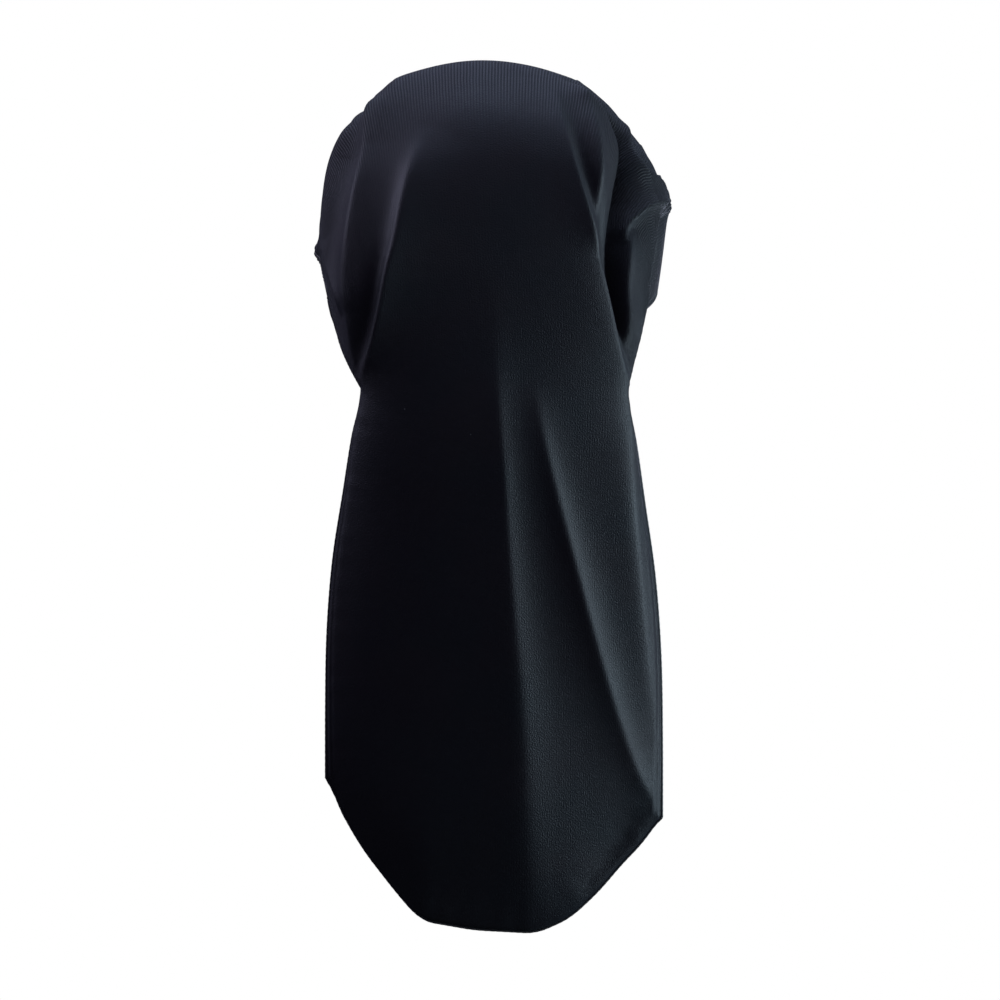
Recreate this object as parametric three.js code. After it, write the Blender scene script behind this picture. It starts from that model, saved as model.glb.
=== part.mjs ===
// A dreadlock cap in black stretch knit: a wide head band, a crown that covers the head, and a long closed
// bag that hangs down the back and holds the locks. It is built as worn, with nobody in it.
// Millimetres. +Z is up, +Y is the way the wearer faces, and the bag hangs on the -Y side.
// The origin is the inside of the crown at its top, where the head carries the cap.
import * as THREE from "three";

// Cloth and seams
const CLOTH_WALL = 1.4;
const BAND_WALL = 2.6;
const SEAM_ROLL = 2.6; // diameter of the rolled seams
const SEWN_GAP = 0.5;

// Head band
const SEAM_DROP = 83; // from the crown down to the band's upper seam, over the ears
const BAND_WIDTH = 45;
const SEAM_HALF_WIDTH = 87;
const SEAM_REACH = 89.5; // from the ears to the forehead and to the nape
const HEM_HALF_WIDTH = 81;
const HEM_FRONT_REACH = 94;
const HEM_NAPE_REACH = 82;

// Crown
const CROWN_LEAN = -5; // sideways, towards the left
const NECK_DROP = 165; // from the crown down to where the bag is narrowest
const NECK_HALF_WIDTH = 66;
const SIDE_SEAM_TURN = THREE.MathUtils.degToRad(30); // from the ear back to where the side seam starts
const CORNER_TURN = THREE.MathUtils.degToRad(6); // from there on to the inner panel's corner

// Bag
const HANG_REACH = 98; // from the crown back to the bag's side seams
const BAG_HALF_WIDTH = 84;
const BAG_BACK_DEPTH = 21; // the outer panel behind the side seams
const BAG_FRONT_DEPTH = 15; // the inner panel in front of them
const CAP_LENGTH = 437;
const END_HEIGHT = 83; // of the bag's rounded end
const BAG_EDGE_TURN = THREE.MathUtils.degToRad(72); // half the angle that each wall of the bag bends through

// Folds
const FOLD_HEIGHT = 8;
const FOLD_WIDTH = 16;
const FOLD_BORDER = 0.12; // share of the half width over which the folds die out at the side seams

// Facets
const COLUMNS = 44;
const CROWN_ROWS = 26;
const BAG_ROWS = 15;
const INNER_COLUMNS = 24;
const INNER_ROWS = 20;
const BAND_STATIONS = 60;
const ROLL_SIDES = 5;

const SEAM_CLEAR = SEAM_ROLL / 2 + SEWN_GAP;
const SEAM_EASE = 6 * SEAM_CLEAR;
const WALLS_APART = CLOTH_WALL + SEWN_GAP;

// The band round the head. turn: degrees from the right ear through the forehead;
// seam: share of the seam's drop; width: share of the band's width.
const BAND = [
  { turn: 0, seam: 0.867, width: 1.0 },
  { turn: 50, seam: 0.6, width: 1.05 },
  { turn: 90, seam: 0.505, width: 1.07 },
  { turn: 130, seam: 0.66, width: 1.03 },
  { turn: 180, seam: 1.133, width: 0.61 },
  { turn: 212, seam: 1.52, width: 0.6 },
  { turn: 270, seam: 1.5, width: 0.8 },
  { turn: 328, seam: 1.0, width: 1.05 },
];

// The outer panel's middle line from the forehead seam to the top of the crown.
// along: share of the panel's length; forward: share of the seam's reach;
// drop: share of the forehead seam's drop; widest: share of the seam's half width;
// edge: share of the side seam's way from the band to the neck;
// fullness: how early the cloth rises between the side seam and the middle (0 evenly, 1 at once).
const FOREHEAD = [
  { along: 0.0, forward: 1.0, drop: 1.0, widest: 1.0, edge: 0.0, fullness: 0.4 },
  { along: 0.04, forward: 0.95, drop: 0.62, widest: 1.0, edge: 0.07, fullness: 0.4 },
  { along: 0.095, forward: 0.72, drop: 0.24, widest: 0.985, edge: 0.19, fullness: 0.33 },
  { along: 0.15, forward: 0.38, drop: 0.05, widest: 0.975, edge: 0.31, fullness: 0.25 },
  { along: 0.21, forward: 0.0, drop: 0.0, widest: 0.965, edge: 0.45, fullness: 0.15 },
];

// The middle line from the top of the crown down to the neck.
// back: share of the panel's reach at the neck; drop: share of the neck's drop;
// widest: share of the way from the neck's half width to the seam's.
const BACK_OF_HEAD = [
  { along: 0.262, back: 0.26, drop: 0.025, widest: 0.78, edge: 0.57, fullness: 0.1 },
  { along: 0.32, back: 0.51, drop: 0.12, widest: 0.6, edge: 0.69, fullness: 0.05 },
  { along: 0.377, back: 0.7, drop: 0.26, widest: 0.45, edge: 0.785, fullness: 0.0 },
  { along: 0.43, back: 0.83, drop: 0.435, widest: 0.32, edge: 0.865, fullness: 0.0 },
  { along: 0.478, back: 0.91, drop: 0.62, widest: 0.19, edge: 0.925, fullness: 0.0 },
  { along: 0.52, back: 0.965, drop: 0.81, widest: 0.07, edge: 0.97, fullness: 0.0 },
  { along: 0.558, back: 1.0, drop: 1.0, widest: 0.0, edge: 1.0, fullness: 0.0 },
];

// The bag from the neck to its end. fall: share of the height from the neck to the end;
// wide: share of the way from the neck's half width to the bag's;
// behind and before: shares of the outer and the inner panel's depth.
const BAG = [
  { along: 0.558, fall: 0.0, wide: 0.0, behind: 0.9, before: 0.4 },
  { along: 0.62, fall: 0.125, wide: 0.27, behind: 1.0, before: 0.8 },
  { along: 0.68, fall: 0.26, wide: 0.5, behind: 1.0, before: 1.0 },
  { along: 0.76, fall: 0.44, wide: 0.8, behind: 0.97, before: 1.0 },
  { along: 0.84, fall: 0.63, wide: 0.96, behind: 0.85, before: 0.88 },
  { along: 0.93, fall: 0.85, wide: 1.0, behind: 0.55, before: 0.55 },
  { along: 1.0, fall: 1.0, wide: 1.0, behind: 0.0, before: 0.0 },
];

// The side seam from the band down to the neck. out: share of the way out from the neck's half width to
// where the seam starts; back: share of the way back to the bag's side; down: share of the way to the neck.
const SIDE_SEAM = [
  { edge: 0.0, out: 1.0, back: 0.0, down: 0.0 },
  { edge: 0.12, out: 1.22, back: 0.11, down: 0.11 },
  { edge: 0.25, out: 1.28, back: 0.24, down: 0.22 },
  { edge: 0.5, out: 1.12, back: 0.52, down: 0.46 },
  { edge: 0.75, out: 0.65, back: 0.8, down: 0.72 },
  { edge: 1.0, out: 0.0, back: 1.0, down: 1.0 },
];

// The inner panel's middle line from the band at the nape down to the neck. out: share of the way from
// the seam's reach back to the bag's side seams; down: share of the way down to the neck.
const NAPE = [
  { edge: 0.0, out: 0.0, down: 0.0 },
  { edge: 0.15, out: 0.7, down: 0.02 },
  { edge: 0.35, out: 0.9, down: 0.16 },
  { edge: 0.6, out: 0.75, down: 0.42 },
  { edge: 0.8, out: 0.5, down: 0.7 },
  { edge: 1.0, out: 0.29, down: 1.0 },
];

// The bag's rounded end, from the left corner to the right one.
// across: share of the bag's half width; rise: share of the end's height above its lowest point.
const BAG_END = [
  { across: -1.0, rise: 1.0 },
  { across: -0.955, rise: 0.82 },
  { across: -0.79, rise: 0.52 },
  { across: -0.56, rise: 0.22 },
  { across: -0.43, rise: 0.075 },
  { across: -0.12, rise: 0.02 },
  { across: 0.25, rise: 0.0 },
  { across: 0.45, rise: 0.09 },
  { across: 0.63, rise: 0.26 },
  { across: 0.76, rise: 0.42 },
  { across: 0.89, rise: 0.55 },
  { across: 1.0, rise: 0.72 },
];

// The folds of the outer panel. path: from the top down, across from -1, the left edge, to 1, the right one,
// and along; raise and tuck: shares of the folds' height, up on the line and down beside its steep side;
// gentle and steep: shares of the folds' width on its two sides; to: the steep side, -1 left or 1 right.
const FOLDS = [
  {
    name: "left lobe",
    path: [[-0.53, 0.15], [-0.6, 0.19], [-0.65, 0.24], [-0.68, 0.3]],
    raise: 0.65,
    tuck: 0.0,
    gentle: 1.0,
    steep: 1.2,
    to: -1,
  },
  {
    name: "left outer ridge",
    path: [[-0.37, 0.215], [-0.43, 0.29], [-0.53, 0.33], [-0.68, 0.38], [-0.79, 0.45], [-0.89, 0.49]],
    raise: 0.5,
    tuck: 0.3,
    gentle: 0.6,
    steep: 0.35,
    to: 1,
  },
  {
    name: "left ridge over the band",
    path: [[-0.77, 0.185], [-0.81, 0.255], [-0.8, 0.355]],
    raise: 0.3,
    tuck: 0.0,
    gentle: 0.4,
    steep: 0.4,
    to: 1,
  },
  {
    name: "left edge of the middle",
    path: [[-0.24, 0.365], [-0.33, 0.41], [-0.41, 0.447], [-0.51, 0.485], [-0.64, 0.51], [-0.9, 0.535]],
    raise: 0.6,
    tuck: 0.25,
    gentle: 0.55,
    steep: 0.35,
    to: 1,
  },
  {
    name: "right edge of the middle",
    path: [[0.22, 0.29], [0.3, 0.355], [0.37, 0.4], [0.45, 0.435], [0.56, 0.48], [0.68, 0.52], [0.88, 0.56]],
    raise: 0.6,
    tuck: 0.7,
    gentle: 1.2,
    steep: 0.32,
    to: 1,
  },
  {
    name: "right inner ridge",
    path: [[0.31, 0.245], [0.36, 0.28], [0.42, 0.3], [0.46, 0.355], [0.47, 0.42]],
    raise: 0.55,
    tuck: 0.3,
    gentle: 0.45,
    steep: 0.3,
    to: -1,
  },
  {
    name: "right valley",
    path: [[0.3, 0.24], [0.39, 0.245], [0.46, 0.26], [0.51, 0.285], [0.54, 0.325], [0.58, 0.405]],
    raise: -0.5,
    tuck: 0.0,
    gentle: 0.32,
    steep: 0.32,
    to: 1,
  },
  {
    name: "right ridge to the ear",
    path: [[0.43, 0.185], [0.52, 0.24], [0.6, 0.24], [0.7, 0.2], [0.76, 0.1]],
    raise: 0.4,
    tuck: 0.0,
    gentle: 0.4,
    steep: 0.4,
    to: 1,
  },
  {
    name: "right hollow",
    path: [[0.42, 0.12], [0.55, 0.16], [0.66, 0.17]],
    raise: -1.0,
    tuck: 0.0,
    gentle: 1.4,
    steep: 1.4,
    to: 1,
  },
  {
    name: "right ridge at the side seam",
    path: [[0.74, 0.31], [0.8, 0.36], [0.84, 0.42]],
    raise: 0.25,
    tuck: 0.0,
    gentle: 0.4,
    steep: 0.4,
    to: 1,
  },
  {
    name: "middle ridge of the bag",
    path: [[0.02, 0.54], [0.07, 0.66], [0.11, 0.785], [0.18, 0.99]],
    raise: 0.35,
    tuck: 0.0,
    gentle: 1.5,
    steep: 1.0,
    to: 1,
  },
  {
    name: "valley beside it",
    path: [[0.38, 0.535], [0.36, 0.79], [0.37, 0.95]],
    raise: -0.3,
    tuck: 0.0,
    gentle: 0.9,
    steep: 0.9,
    to: 1,
  },
  {
    name: "ridge to the right corner",
    path: [[0.32, 0.605], [0.42, 0.7], [0.53, 0.8], [0.8, 0.93], [0.97, 0.99]],
    raise: 0.5,
    tuck: 0.0,
    gentle: 1.5,
    steep: 0.8,
    to: -1,
  },
];

const { clamp, lerp, smoothstep } = THREE.MathUtils;
const vector = (x, y, z) => new THREE.Vector3(x, y, z);

// One column of a table at any place along it, on a smooth curve through the table's rows.
function column(rows, at, key, where) {
  const last = rows.length - 1;
  const slope = (n) => {
    const from = rows[Math.max(n - 1, 0)];
    const to = rows[Math.min(n + 1, last)];
    return (to[key] - from[key]) / (to[at] - from[at]);
  };
  let i = 0;
  while (i < last - 1 && where > rows[i + 1][at]) i += 1;
  const span = rows[i + 1][at] - rows[i][at];
  const t = clamp((where - rows[i][at]) / span, 0, 1);
  const [t2, t3] = [t * t, t * t * t];
  return (
    (2 * t3 - 3 * t2 + 1) * rows[i][key] +
    (t3 - 2 * t2 + t) * span * slope(i) +
    (3 * t2 - 2 * t3) * rows[i + 1][key] +
    (t3 - t2) * span * slope(i + 1)
  );
}

// The band's table runs on past both ends, so that its curve closes.
const BAND_LOOP = [-360, 0, 360].flatMap((round) =>
  BAND.map((row) => ({ ...row, turn: row.turn + round })),
);

// A place on the band. turn: from the right ear through the forehead; up: from the hem, 0, to the seam, 1.
function bandPoint(turn, up) {
  const hemReach = Math.sin(turn) > 0 ? HEM_FRONT_REACH : HEM_NAPE_REACH;
  const degrees = THREE.MathUtils.radToDeg(turn);
  const seamDrop = SEAM_DROP * column(BAND_LOOP, "turn", "seam", degrees);
  const width = BAND_WIDTH * column(BAND_LOOP, "turn", "width", degrees);
  return vector(
    lerp(HEM_HALF_WIDTH, SEAM_HALF_WIDTH, up) * Math.cos(turn),
    lerp(hemReach, SEAM_REACH, up) * Math.sin(turn),
    -seamDrop - width * (1 - up),
  );
}

const FOREHEAD_SEAM = bandPoint(Math.PI / 2, 1);
const NAPE_SEAM = bandPoint(-Math.PI / 2, 1);
const SIDE_SEAM_STARTS = {
  left: bandPoint(Math.PI + SIDE_SEAM_TURN, 1),
  right: bandPoint(-SIDE_SEAM_TURN, 1),
};
const NECK_REACH = HANG_REACH + BAG_BACK_DEPTH * BAG[0].behind;
const NECK_ALONG = BAG[0].along;

// The outer panel's stations in millimetres.
const STATIONS = [
  ...FOREHEAD.map((row) => ({
    along: row.along,
    y: row.forward * SEAM_REACH,
    z: row.drop * FOREHEAD_SEAM.z,
    widest: row.widest * SEAM_HALF_WIDTH,
    edge: row.edge,
    fullness: row.fullness,
  })),
  ...BACK_OF_HEAD.map((row) => ({
    along: row.along,
    y: -row.back * NECK_REACH,
    z: -row.drop * NECK_DROP,
    widest: lerp(NECK_HALF_WIDTH, SEAM_HALF_WIDTH, row.widest),
    edge: row.edge,
    fullness: row.fullness,
  })),
  ...BAG.slice(1).map((row) => ({
    along: row.along,
    y: -HANG_REACH - row.behind * BAG_BACK_DEPTH,
    z: lerp(-NECK_DROP, -CAP_LENGTH, row.fall),
    widest: lerp(NECK_HALF_WIDTH, BAG_HALF_WIDTH, row.wide),
    edge: 1,
    fullness: 0,
  })),
];
const station = (key, along) => column(STATIONS, "along", key, along);

// The height of the bag's lower outline above its lowest point, from the left edge, -1, to the right one, 1.
function endRise(across) {
  const i = clamp(BAG_END.findIndex((row) => row.across >= across), 1, BAG_END.length - 1);
  const [from, to] = [BAG_END[i - 1], BAG_END[i]];
  return END_HEIGHT * lerp(from.rise, to.rise, (across - from.across) / (to.across - from.across));
}

// How much of the bag's rounded end a row follows: none at the neck, all at the end.
const endShare = (along) => (along < NECK_ALONG ? 0 : column(BAG, "along", "fall", along));

// The line of the side seam, where both panels end. side: -1 for the left one, 1 for the right one.
function seamLine(side, along) {
  if (along >= NECK_ALONG) {
    const x = side * Math.min(station("widest", along), BAG_HALF_WIDTH);
    return vector(x, -HANG_REACH, station("z", along) + endShare(along) * endRise(side));
  }
  const start = side < 0 ? SIDE_SEAM_STARTS.left : SIDE_SEAM_STARTS.right;
  const edge = clamp(station("edge", along), 0, 1);
  return vector(
    lerp(side * NECK_HALF_WIDTH, start.x, column(SIDE_SEAM, "edge", "out", edge)),
    lerp(start.y, -HANG_REACH, column(SIDE_SEAM, "edge", "back", edge)),
    lerp(start.z, -NECK_DROP, column(SIDE_SEAM, "edge", "down", edge)),
  );
}

// One arc of cloth from the left side seam over the middle to the right one. end: half the angle that it
// bends through; middle: its depth and height half way; fullness: as in the tables.
function arcPoint(across, along, end, middle, fullness) {
  const side = across < 0 ? -1 : 1;
  const edge = seamLine(side, along);
  const turn = across * end;
  const share = Math.sin(turn) / Math.sin(end);
  const rise = (Math.cos(turn) - Math.cos(end)) / (1 - Math.cos(end));
  const level = edge.z - endShare(along) * endRise(side);
  return vector(
    Math.abs(edge.x) * share,
    lerp(edge.y, middle.y, rise),
    lerp(level, middle.z, rise ** (1 - fullness)) + endShare(along) * endRise(share),
  );
}

// The outer panel's arcs bulge past the side seams round the head, and not over the bag.
function outerArc(across, along) {
  const edge = Math.abs(seamLine(across < 0 ? -1 : 1, along).x);
  const bulging = Math.PI - Math.asin(edge / Math.max(station("widest", along), edge));
  const end = lerp(bulging, BAG_EDGE_TURN, smoothstep(along, NECK_ALONG, BAG[3].along));
  const middle = { y: station("y", along), z: station("z", along) };
  const point = arcPoint(across, along, end, middle, station("fullness", along));
  const leaning = Math.sin(Math.PI * clamp(along / NECK_ALONG, 0, 1)) * Math.cos((across * Math.PI) / 2);
  point.x += CROWN_LEAN * leaning;
  return point;
}

function innerArc(across, along) {
  const edge = clamp(station("edge", along), 0, 1);
  const end = lerp(Math.PI / 2 - SIDE_SEAM_TURN, BAG_EDGE_TURN, smoothstep(along, NECK_ALONG, BAG[3].along));
  const middle = { y: 0, z: 0 };
  if (along < NECK_ALONG) {
    middle.y = lerp(NAPE_SEAM.y, -HANG_REACH, column(NAPE, "edge", "out", edge));
    middle.z = lerp(NAPE_SEAM.z, -NECK_DROP, column(NAPE, "edge", "down", edge));
  } else {
    middle.y = column(BAG, "along", "before", along) * BAG_FRONT_DEPTH - HANG_REACH;
    middle.z = station("z", along);
  }
  return arcPoint(across, along, end, middle, 0);
}

// Moves a panel's first rows so that the very first lies on the band's seam, or this far outside it.
function fittedToBand(arc, turnOf, outside) {
  return (across, along) => {
    const turn = turnOf(across);
    const sewn = bandPoint(turn, 1).add(vector(Math.cos(turn), Math.sin(turn), 0).multiplyScalar(outside));
    const fit = sewn.sub(arc(across, 0));
    return arc(across, along).addScaledVector(fit, 1 - smoothstep(along, 0, CROWN_TOP));
  };
}

const CROWN_TOP = FOREHEAD.at(-1).along;
const OUTER_SPAN = Math.PI / 2 + SIDE_SEAM_TURN;
const INNER_SPAN = Math.PI / 2 - SIDE_SEAM_TURN - CORNER_TURN;
const smoothOuter = fittedToBand(outerArc, (across) => Math.PI / 2 - across * OUTER_SPAN, 0);
const innerPanel = fittedToBand(innerArc, (across) => across * INNER_SPAN - Math.PI / 2, BAND_WALL / 2);

// A fold's line on the smooth panel, in short steps.
const FOLD_LINES = FOLDS.map((fold) => {
  const places = fold.path.map(([across, along]) => smoothOuter(across, along));
  return { ...fold, line: new THREE.CatmullRomCurve3(places).getPoints(30) };
});

// How high a fold stands at a point of the smooth panel. out: the way out of the cloth there.
function foldHeight(fold, point, out) {
  const { line } = fold;
  let near = 0;
  for (let i = 1; i < line.length; i += 1) {
    if (line[i].distanceToSquared(point) < line[near].distanceToSquared(point)) near = i;
  }
  const ahead = line[Math.min(near + 1, line.length - 1)].clone().sub(line[Math.max(near - 1, 0)]);
  const right = out.clone().cross(ahead);
  const beside = point.clone().sub(line[near]);
  const side = Math.sign(beside.dot(right)) * fold.to;
  const away = beside.length() / FOLD_WIDTH;
  const width = side > 0 ? fold.steep : fold.gentle;
  const tucked = side > 0 ? (away / fold.steep) ** 2 * Math.exp(1 - (away / fold.steep) ** 2) : 0;
  const place = near / (line.length - 1);
  const fade = smoothstep(place, -0.1, 0.25) * (1 - smoothstep(place, 0.8, 1.1));
  return FOLD_HEIGHT * fade * (fold.raise * Math.exp(-((away / width) ** 2)) - fold.tuck * tucked);
}

// The way out of a surface at a place on it.
function outOf(surface, across, along) {
  const step = 0.004;
  const right = surface(Math.min(across + step, 1), along).sub(surface(Math.max(across - step, -1), along));
  const down = surface(across, Math.min(along + step, 1)).sub(surface(across, Math.max(along - step, 0)));
  return down.cross(right).normalize();
}

function outerPanel(across, along) {
  const point = smoothOuter(across, along);
  const out = outOf(smoothOuter, across, along);
  const height = FOLD_LINES.reduce((sum, fold) => sum + foldHeight(fold, point, out), 0);
  const inside = smoothstep(1 - Math.abs(across), 0, FOLD_BORDER) * smoothstep(along, 0, FOREHEAD[1].along);
  return point.addScaledVector(out, height * inside);
}

const between = (from, to, count) => Array.from({ length: count + 1 }, (_, i) => lerp(from, to, i / count));
const alongs = (crownRows, bagRows) => [
  ...between(0, NECK_ALONG, crownRows),
  ...between(NECK_ALONG, 1, bagRows).slice(1),
];
const BAND_TURNS = between(0, 2 * Math.PI, BAND_STATIONS).slice(0, -1);
const BAND_SEAM_PATH = BAND_TURNS.map((turn) => bandPoint(turn, 1));

// The side seam's line from the left ear round the bag's end to the right ear.
const seamRows = alongs(CROWN_ROWS / 2, Math.ceil(BAG_ROWS / 2)).slice(0, -1);
const SIDE_SEAM_PATH = [
  ...seamRows.map((along) => seamLine(-1, along)),
  ...between(-1, 1, COLUMNS).map((across) => {
    const share = Math.sin((across * Math.PI) / 2);
    return vector(share * BAG_HALF_WIDTH, -HANG_REACH, endRise(share) - CAP_LENGTH);
  }),
  ...seamRows.map((along) => seamLine(1, along)).reverse(),
];

// The nearest place to a point on a path.
function nearestOn(path, point) {
  const [line, place] = [new THREE.Line3(), vector()];
  let nearest = path[0];
  for (let i = 1; i < path.length; i += 1) {
    line.set(path[i - 1], path[i]).closestPointToPoint(point, true, place);
    if (place.distanceTo(point) < nearest.distanceTo(point)) nearest = place.clone();
  }
  return nearest;
}

// Moves a panel's points away from the seams, most at its border, so that it ends just beside them.
function besideSeams(point) {
  const onBand = nearestOn([...BAND_SEAM_PATH, BAND_SEAM_PATH[0]], point);
  const onSide = nearestOn(SIDE_SEAM_PATH, point);
  const near = onBand.distanceTo(point) < onSide.distanceTo(point) ? onBand : onSide;
  const distance = near.distanceTo(point);
  if (distance > SEAM_EASE) return point;
  const moved = lerp(SEAM_CLEAR, SEAM_EASE, distance / SEAM_EASE);
  return near.clone().add(point.clone().sub(near).setLength(moved));
}

// A grid over a panel that stops beside the seams. shift moves the bag's wall off its side seams' plane.
function gridOf(surface, rows, columns, shift) {
  const sliver = 0.002;
  const inside = (share, from, to) => clamp(share, from + sliver, to - sliver);
  return rows.map((along) =>
    between(-1, 1, columns).map((across) => {
      const point = besideSeams(surface(inside(across, -1, 1), inside(along, 0, 1)));
      point.y += shift * smoothstep(along, 0, NECK_ALONG);
      return point;
    }),
  );
}

// The way out of the cloth at each point of a grid.
function gridNormals(grid) {
  const last = grid.length - 1;
  return grid.map((row, i) =>
    row.map((_, j) => {
      const down = grid[Math.min(i + 1, last)][j].clone().sub(grid[Math.max(i - 1, 0)][j]);
      const right = row[Math.min(j + 1, row.length - 1)].clone().sub(row[Math.max(j - 1, 0)]);
      return down.cross(right).normalize();
    }),
  );
}

function geometryOf(points, faces) {
  const geometry = new THREE.BufferGeometry();
  const places = points.flatMap((point) => point.toArray());
  geometry.setAttribute("position", new THREE.Float32BufferAttribute(places, 3));
  geometry.setIndex(faces.flat());
  geometry.computeVertexNormals();
  return geometry;
}

// A closed wall of cloth with a grid as its middle surface.
function clothSolid(grid, wall) {
  const normals = gridNormals(grid);
  const [rows, columns] = [grid.length, grid[0].length];
  const layer = (offset) =>
    grid.flatMap((row, i) => row.map((p, j) => p.clone().addScaledVector(normals[i][j], offset)));
  const faces = [];
  const quad = (a, b, c, d) => faces.push([a, b, c], [a, c, d]);
  const outer = (i, j) => i * columns + j;
  const inner = (i, j) => (rows + i) * columns + j;
  const end = columns - 1;
  for (let i = 0; i < rows - 1; i += 1) {
    for (let j = 0; j < end; j += 1) {
      quad(outer(i, j), outer(i + 1, j), outer(i + 1, j + 1), outer(i, j + 1));
      quad(inner(i, j), inner(i, j + 1), inner(i + 1, j + 1), inner(i + 1, j));
    }
    quad(outer(i, 0), inner(i, 0), inner(i + 1, 0), outer(i + 1, 0));
    quad(outer(i + 1, end), inner(i + 1, end), inner(i, end), outer(i, end));
  }
  for (let j = 0; j < end; j += 1) {
    quad(outer(0, j + 1), inner(0, j + 1), inner(0, j), outer(0, j));
    quad(outer(rows - 1, j), inner(rows - 1, j), inner(rows - 1, j + 1), outer(rows - 1, j + 1));
  }
  return geometryOf([...layer(wall / 2), ...layer(-wall / 2)], faces);
}

// A solid through a row of rings of points. A closed one joins its last ring to its first.
function ringsSolid(rings, closed) {
  const sides = rings[0].length;
  const faces = [];
  const at = (i, k) => (i % rings.length) * sides + (k % sides);
  for (let i = 0; i < rings.length - (closed ? 0 : 1); i += 1) {
    for (let k = 0; k < sides; k += 1) {
      faces.push([at(i, k), at(i, k + 1), at(i + 1, k + 1)]);
      faces.push([at(i, k), at(i + 1, k + 1), at(i + 1, k)]);
    }
  }
  for (let k = 1; !closed && k < sides - 1; k += 1) {
    faces.push([at(0, 0), at(0, k + 1), at(0, k)]);
    faces.push([at(rings.length - 1, 0), at(rings.length - 1, k), at(rings.length - 1, k + 1)]);
  }
  return geometryOf(rings.flat(), faces);
}

// A round roll of cloth along a path.
function rollSolid(path, diameter, closed) {
  const count = path.length;
  let across = vector(0, 0, 1);
  const rings = path.map((point, i) => {
    const before = path[closed ? (i + count - 1) % count : Math.max(i - 1, 0)];
    const after = path[closed ? (i + 1) % count : Math.min(i + 1, count - 1)];
    const ahead = after.clone().sub(before).normalize();
    across = closed ? vector(0, 0, 1) : across;
    across = across.clone().addScaledVector(ahead, -across.dot(ahead)).normalize();
    const out = ahead.clone().cross(across);
    return Array.from({ length: ROLL_SIDES }, (_, k) => {
      const turn = (2 * Math.PI * k) / ROLL_SIDES;
      return point
        .clone()
        .addScaledVector(across, (Math.cos(turn) * diameter) / 2)
        .addScaledVector(out, (Math.sin(turn) * diameter) / 2);
    });
  });
  return ringsSolid(rings, closed);
}

// The band's wall, from its hem up to just under the seam.
function bandSolid() {
  const rings = BAND_TURNS.map((turn) => {
    const out = vector(Math.cos(turn), Math.sin(turn), 0).multiplyScalar(BAND_WALL / 2);
    const height = bandPoint(turn, 1).distanceTo(bandPoint(turn, 0));
    const ups = [0, 0.5, 1 - SEAM_CLEAR / height];
    const outside = ups.map((up) => bandPoint(turn, up).add(out));
    const inside = ups.map((up) => bandPoint(turn, up).sub(out));
    return [...outside, ...inside.reverse()];
  });
  return ringsSolid(rings.reverse(), true);
}

// The side seam stops at both ends before it reaches the band's seam.
function sideSeamRoll() {
  const clear = SIDE_SEAM_PATH.filter(
    (point) => nearestOn(BAND_SEAM_PATH, point).distanceTo(point) > SEAM_ROLL + 2 * SEWN_GAP,
  );
  return rollSolid(clear, SEAM_ROLL, false);
}

const cloth = new THREE.MeshStandardMaterial({ color: 0x0b0c10, roughness: 0.62, metalness: 0 });

function piece(name, geometry) {
  const mesh = new THREE.Mesh(geometry, cloth.clone());
  mesh.name = name;
  return mesh;
}

const outerGrid = gridOf(outerPanel, alongs(CROWN_ROWS, BAG_ROWS), COLUMNS, -WALLS_APART / 2);
const innerRows = alongs(INNER_ROWS / 2, INNER_ROWS / 2);
const innerGrid = gridOf(innerPanel, innerRows, INNER_COLUMNS, WALLS_APART / 2);

const cap = new THREE.Group();
cap.add(
  piece("outer_panel", clothSolid(outerGrid, CLOTH_WALL)),
  piece("inner_panel", clothSolid(innerGrid, CLOTH_WALL)),
  piece("head_band", bandSolid()),
  piece("band_seam", rollSolid(BAND_SEAM_PATH, SEAM_ROLL, true)),
  piece("side_seam", sideSeamRoll()),
);

export default cap;
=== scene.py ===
# %% [markdown]
# # A dreadlock cap in black ribbed knit
#
# The cap has three pieces of cloth. A wide band of doubled knit goes round the head. An outer panel runs from
# the forehead over the crown and down the back, and an inner panel starts at the band over the nape. The two
# panels are sewn together into a long bag that holds the locks.
# The CAD model holds these pieces at their real size. Here each is made again as fine cloth, in the same
# place: with sharper folds, rolled and stitched seams, and a knit that catches the light.

import math
from collections import namedtuple

import bpy
import numpy as np
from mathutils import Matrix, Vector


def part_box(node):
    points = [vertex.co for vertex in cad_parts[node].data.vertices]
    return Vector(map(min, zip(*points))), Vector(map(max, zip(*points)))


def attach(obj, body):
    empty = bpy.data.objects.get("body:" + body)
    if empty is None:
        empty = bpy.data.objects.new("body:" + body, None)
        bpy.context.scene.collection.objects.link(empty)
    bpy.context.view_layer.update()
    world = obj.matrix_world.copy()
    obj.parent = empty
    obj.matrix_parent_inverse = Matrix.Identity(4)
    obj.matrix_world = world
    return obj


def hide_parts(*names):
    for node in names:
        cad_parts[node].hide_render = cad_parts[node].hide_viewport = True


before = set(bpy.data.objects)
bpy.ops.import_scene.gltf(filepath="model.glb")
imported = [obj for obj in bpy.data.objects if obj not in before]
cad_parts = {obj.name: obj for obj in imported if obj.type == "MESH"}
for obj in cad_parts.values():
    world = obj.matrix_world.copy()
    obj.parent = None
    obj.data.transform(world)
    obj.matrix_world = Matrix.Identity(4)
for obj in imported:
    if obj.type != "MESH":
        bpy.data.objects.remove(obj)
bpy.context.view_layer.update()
scene = bpy.context.scene
print("CAD pieces:", sorted(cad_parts))

# %% [markdown]
# ## Sizes
#
# All is in millimetres until a mesh is made, because cloth is cut and sewn in millimetres. The large sizes
# come from the CAD pieces, so that the cloth follows the frame. Up is +Z, the wearer faces +Y, and the bag
# hangs on the -Y side.

# %% Read the large sizes from the frame
MM = 0.001
CAD_ROLL = 2.6  # diameter of the CAD model's seams
CAD_BAND_WALL = 2.6


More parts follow.
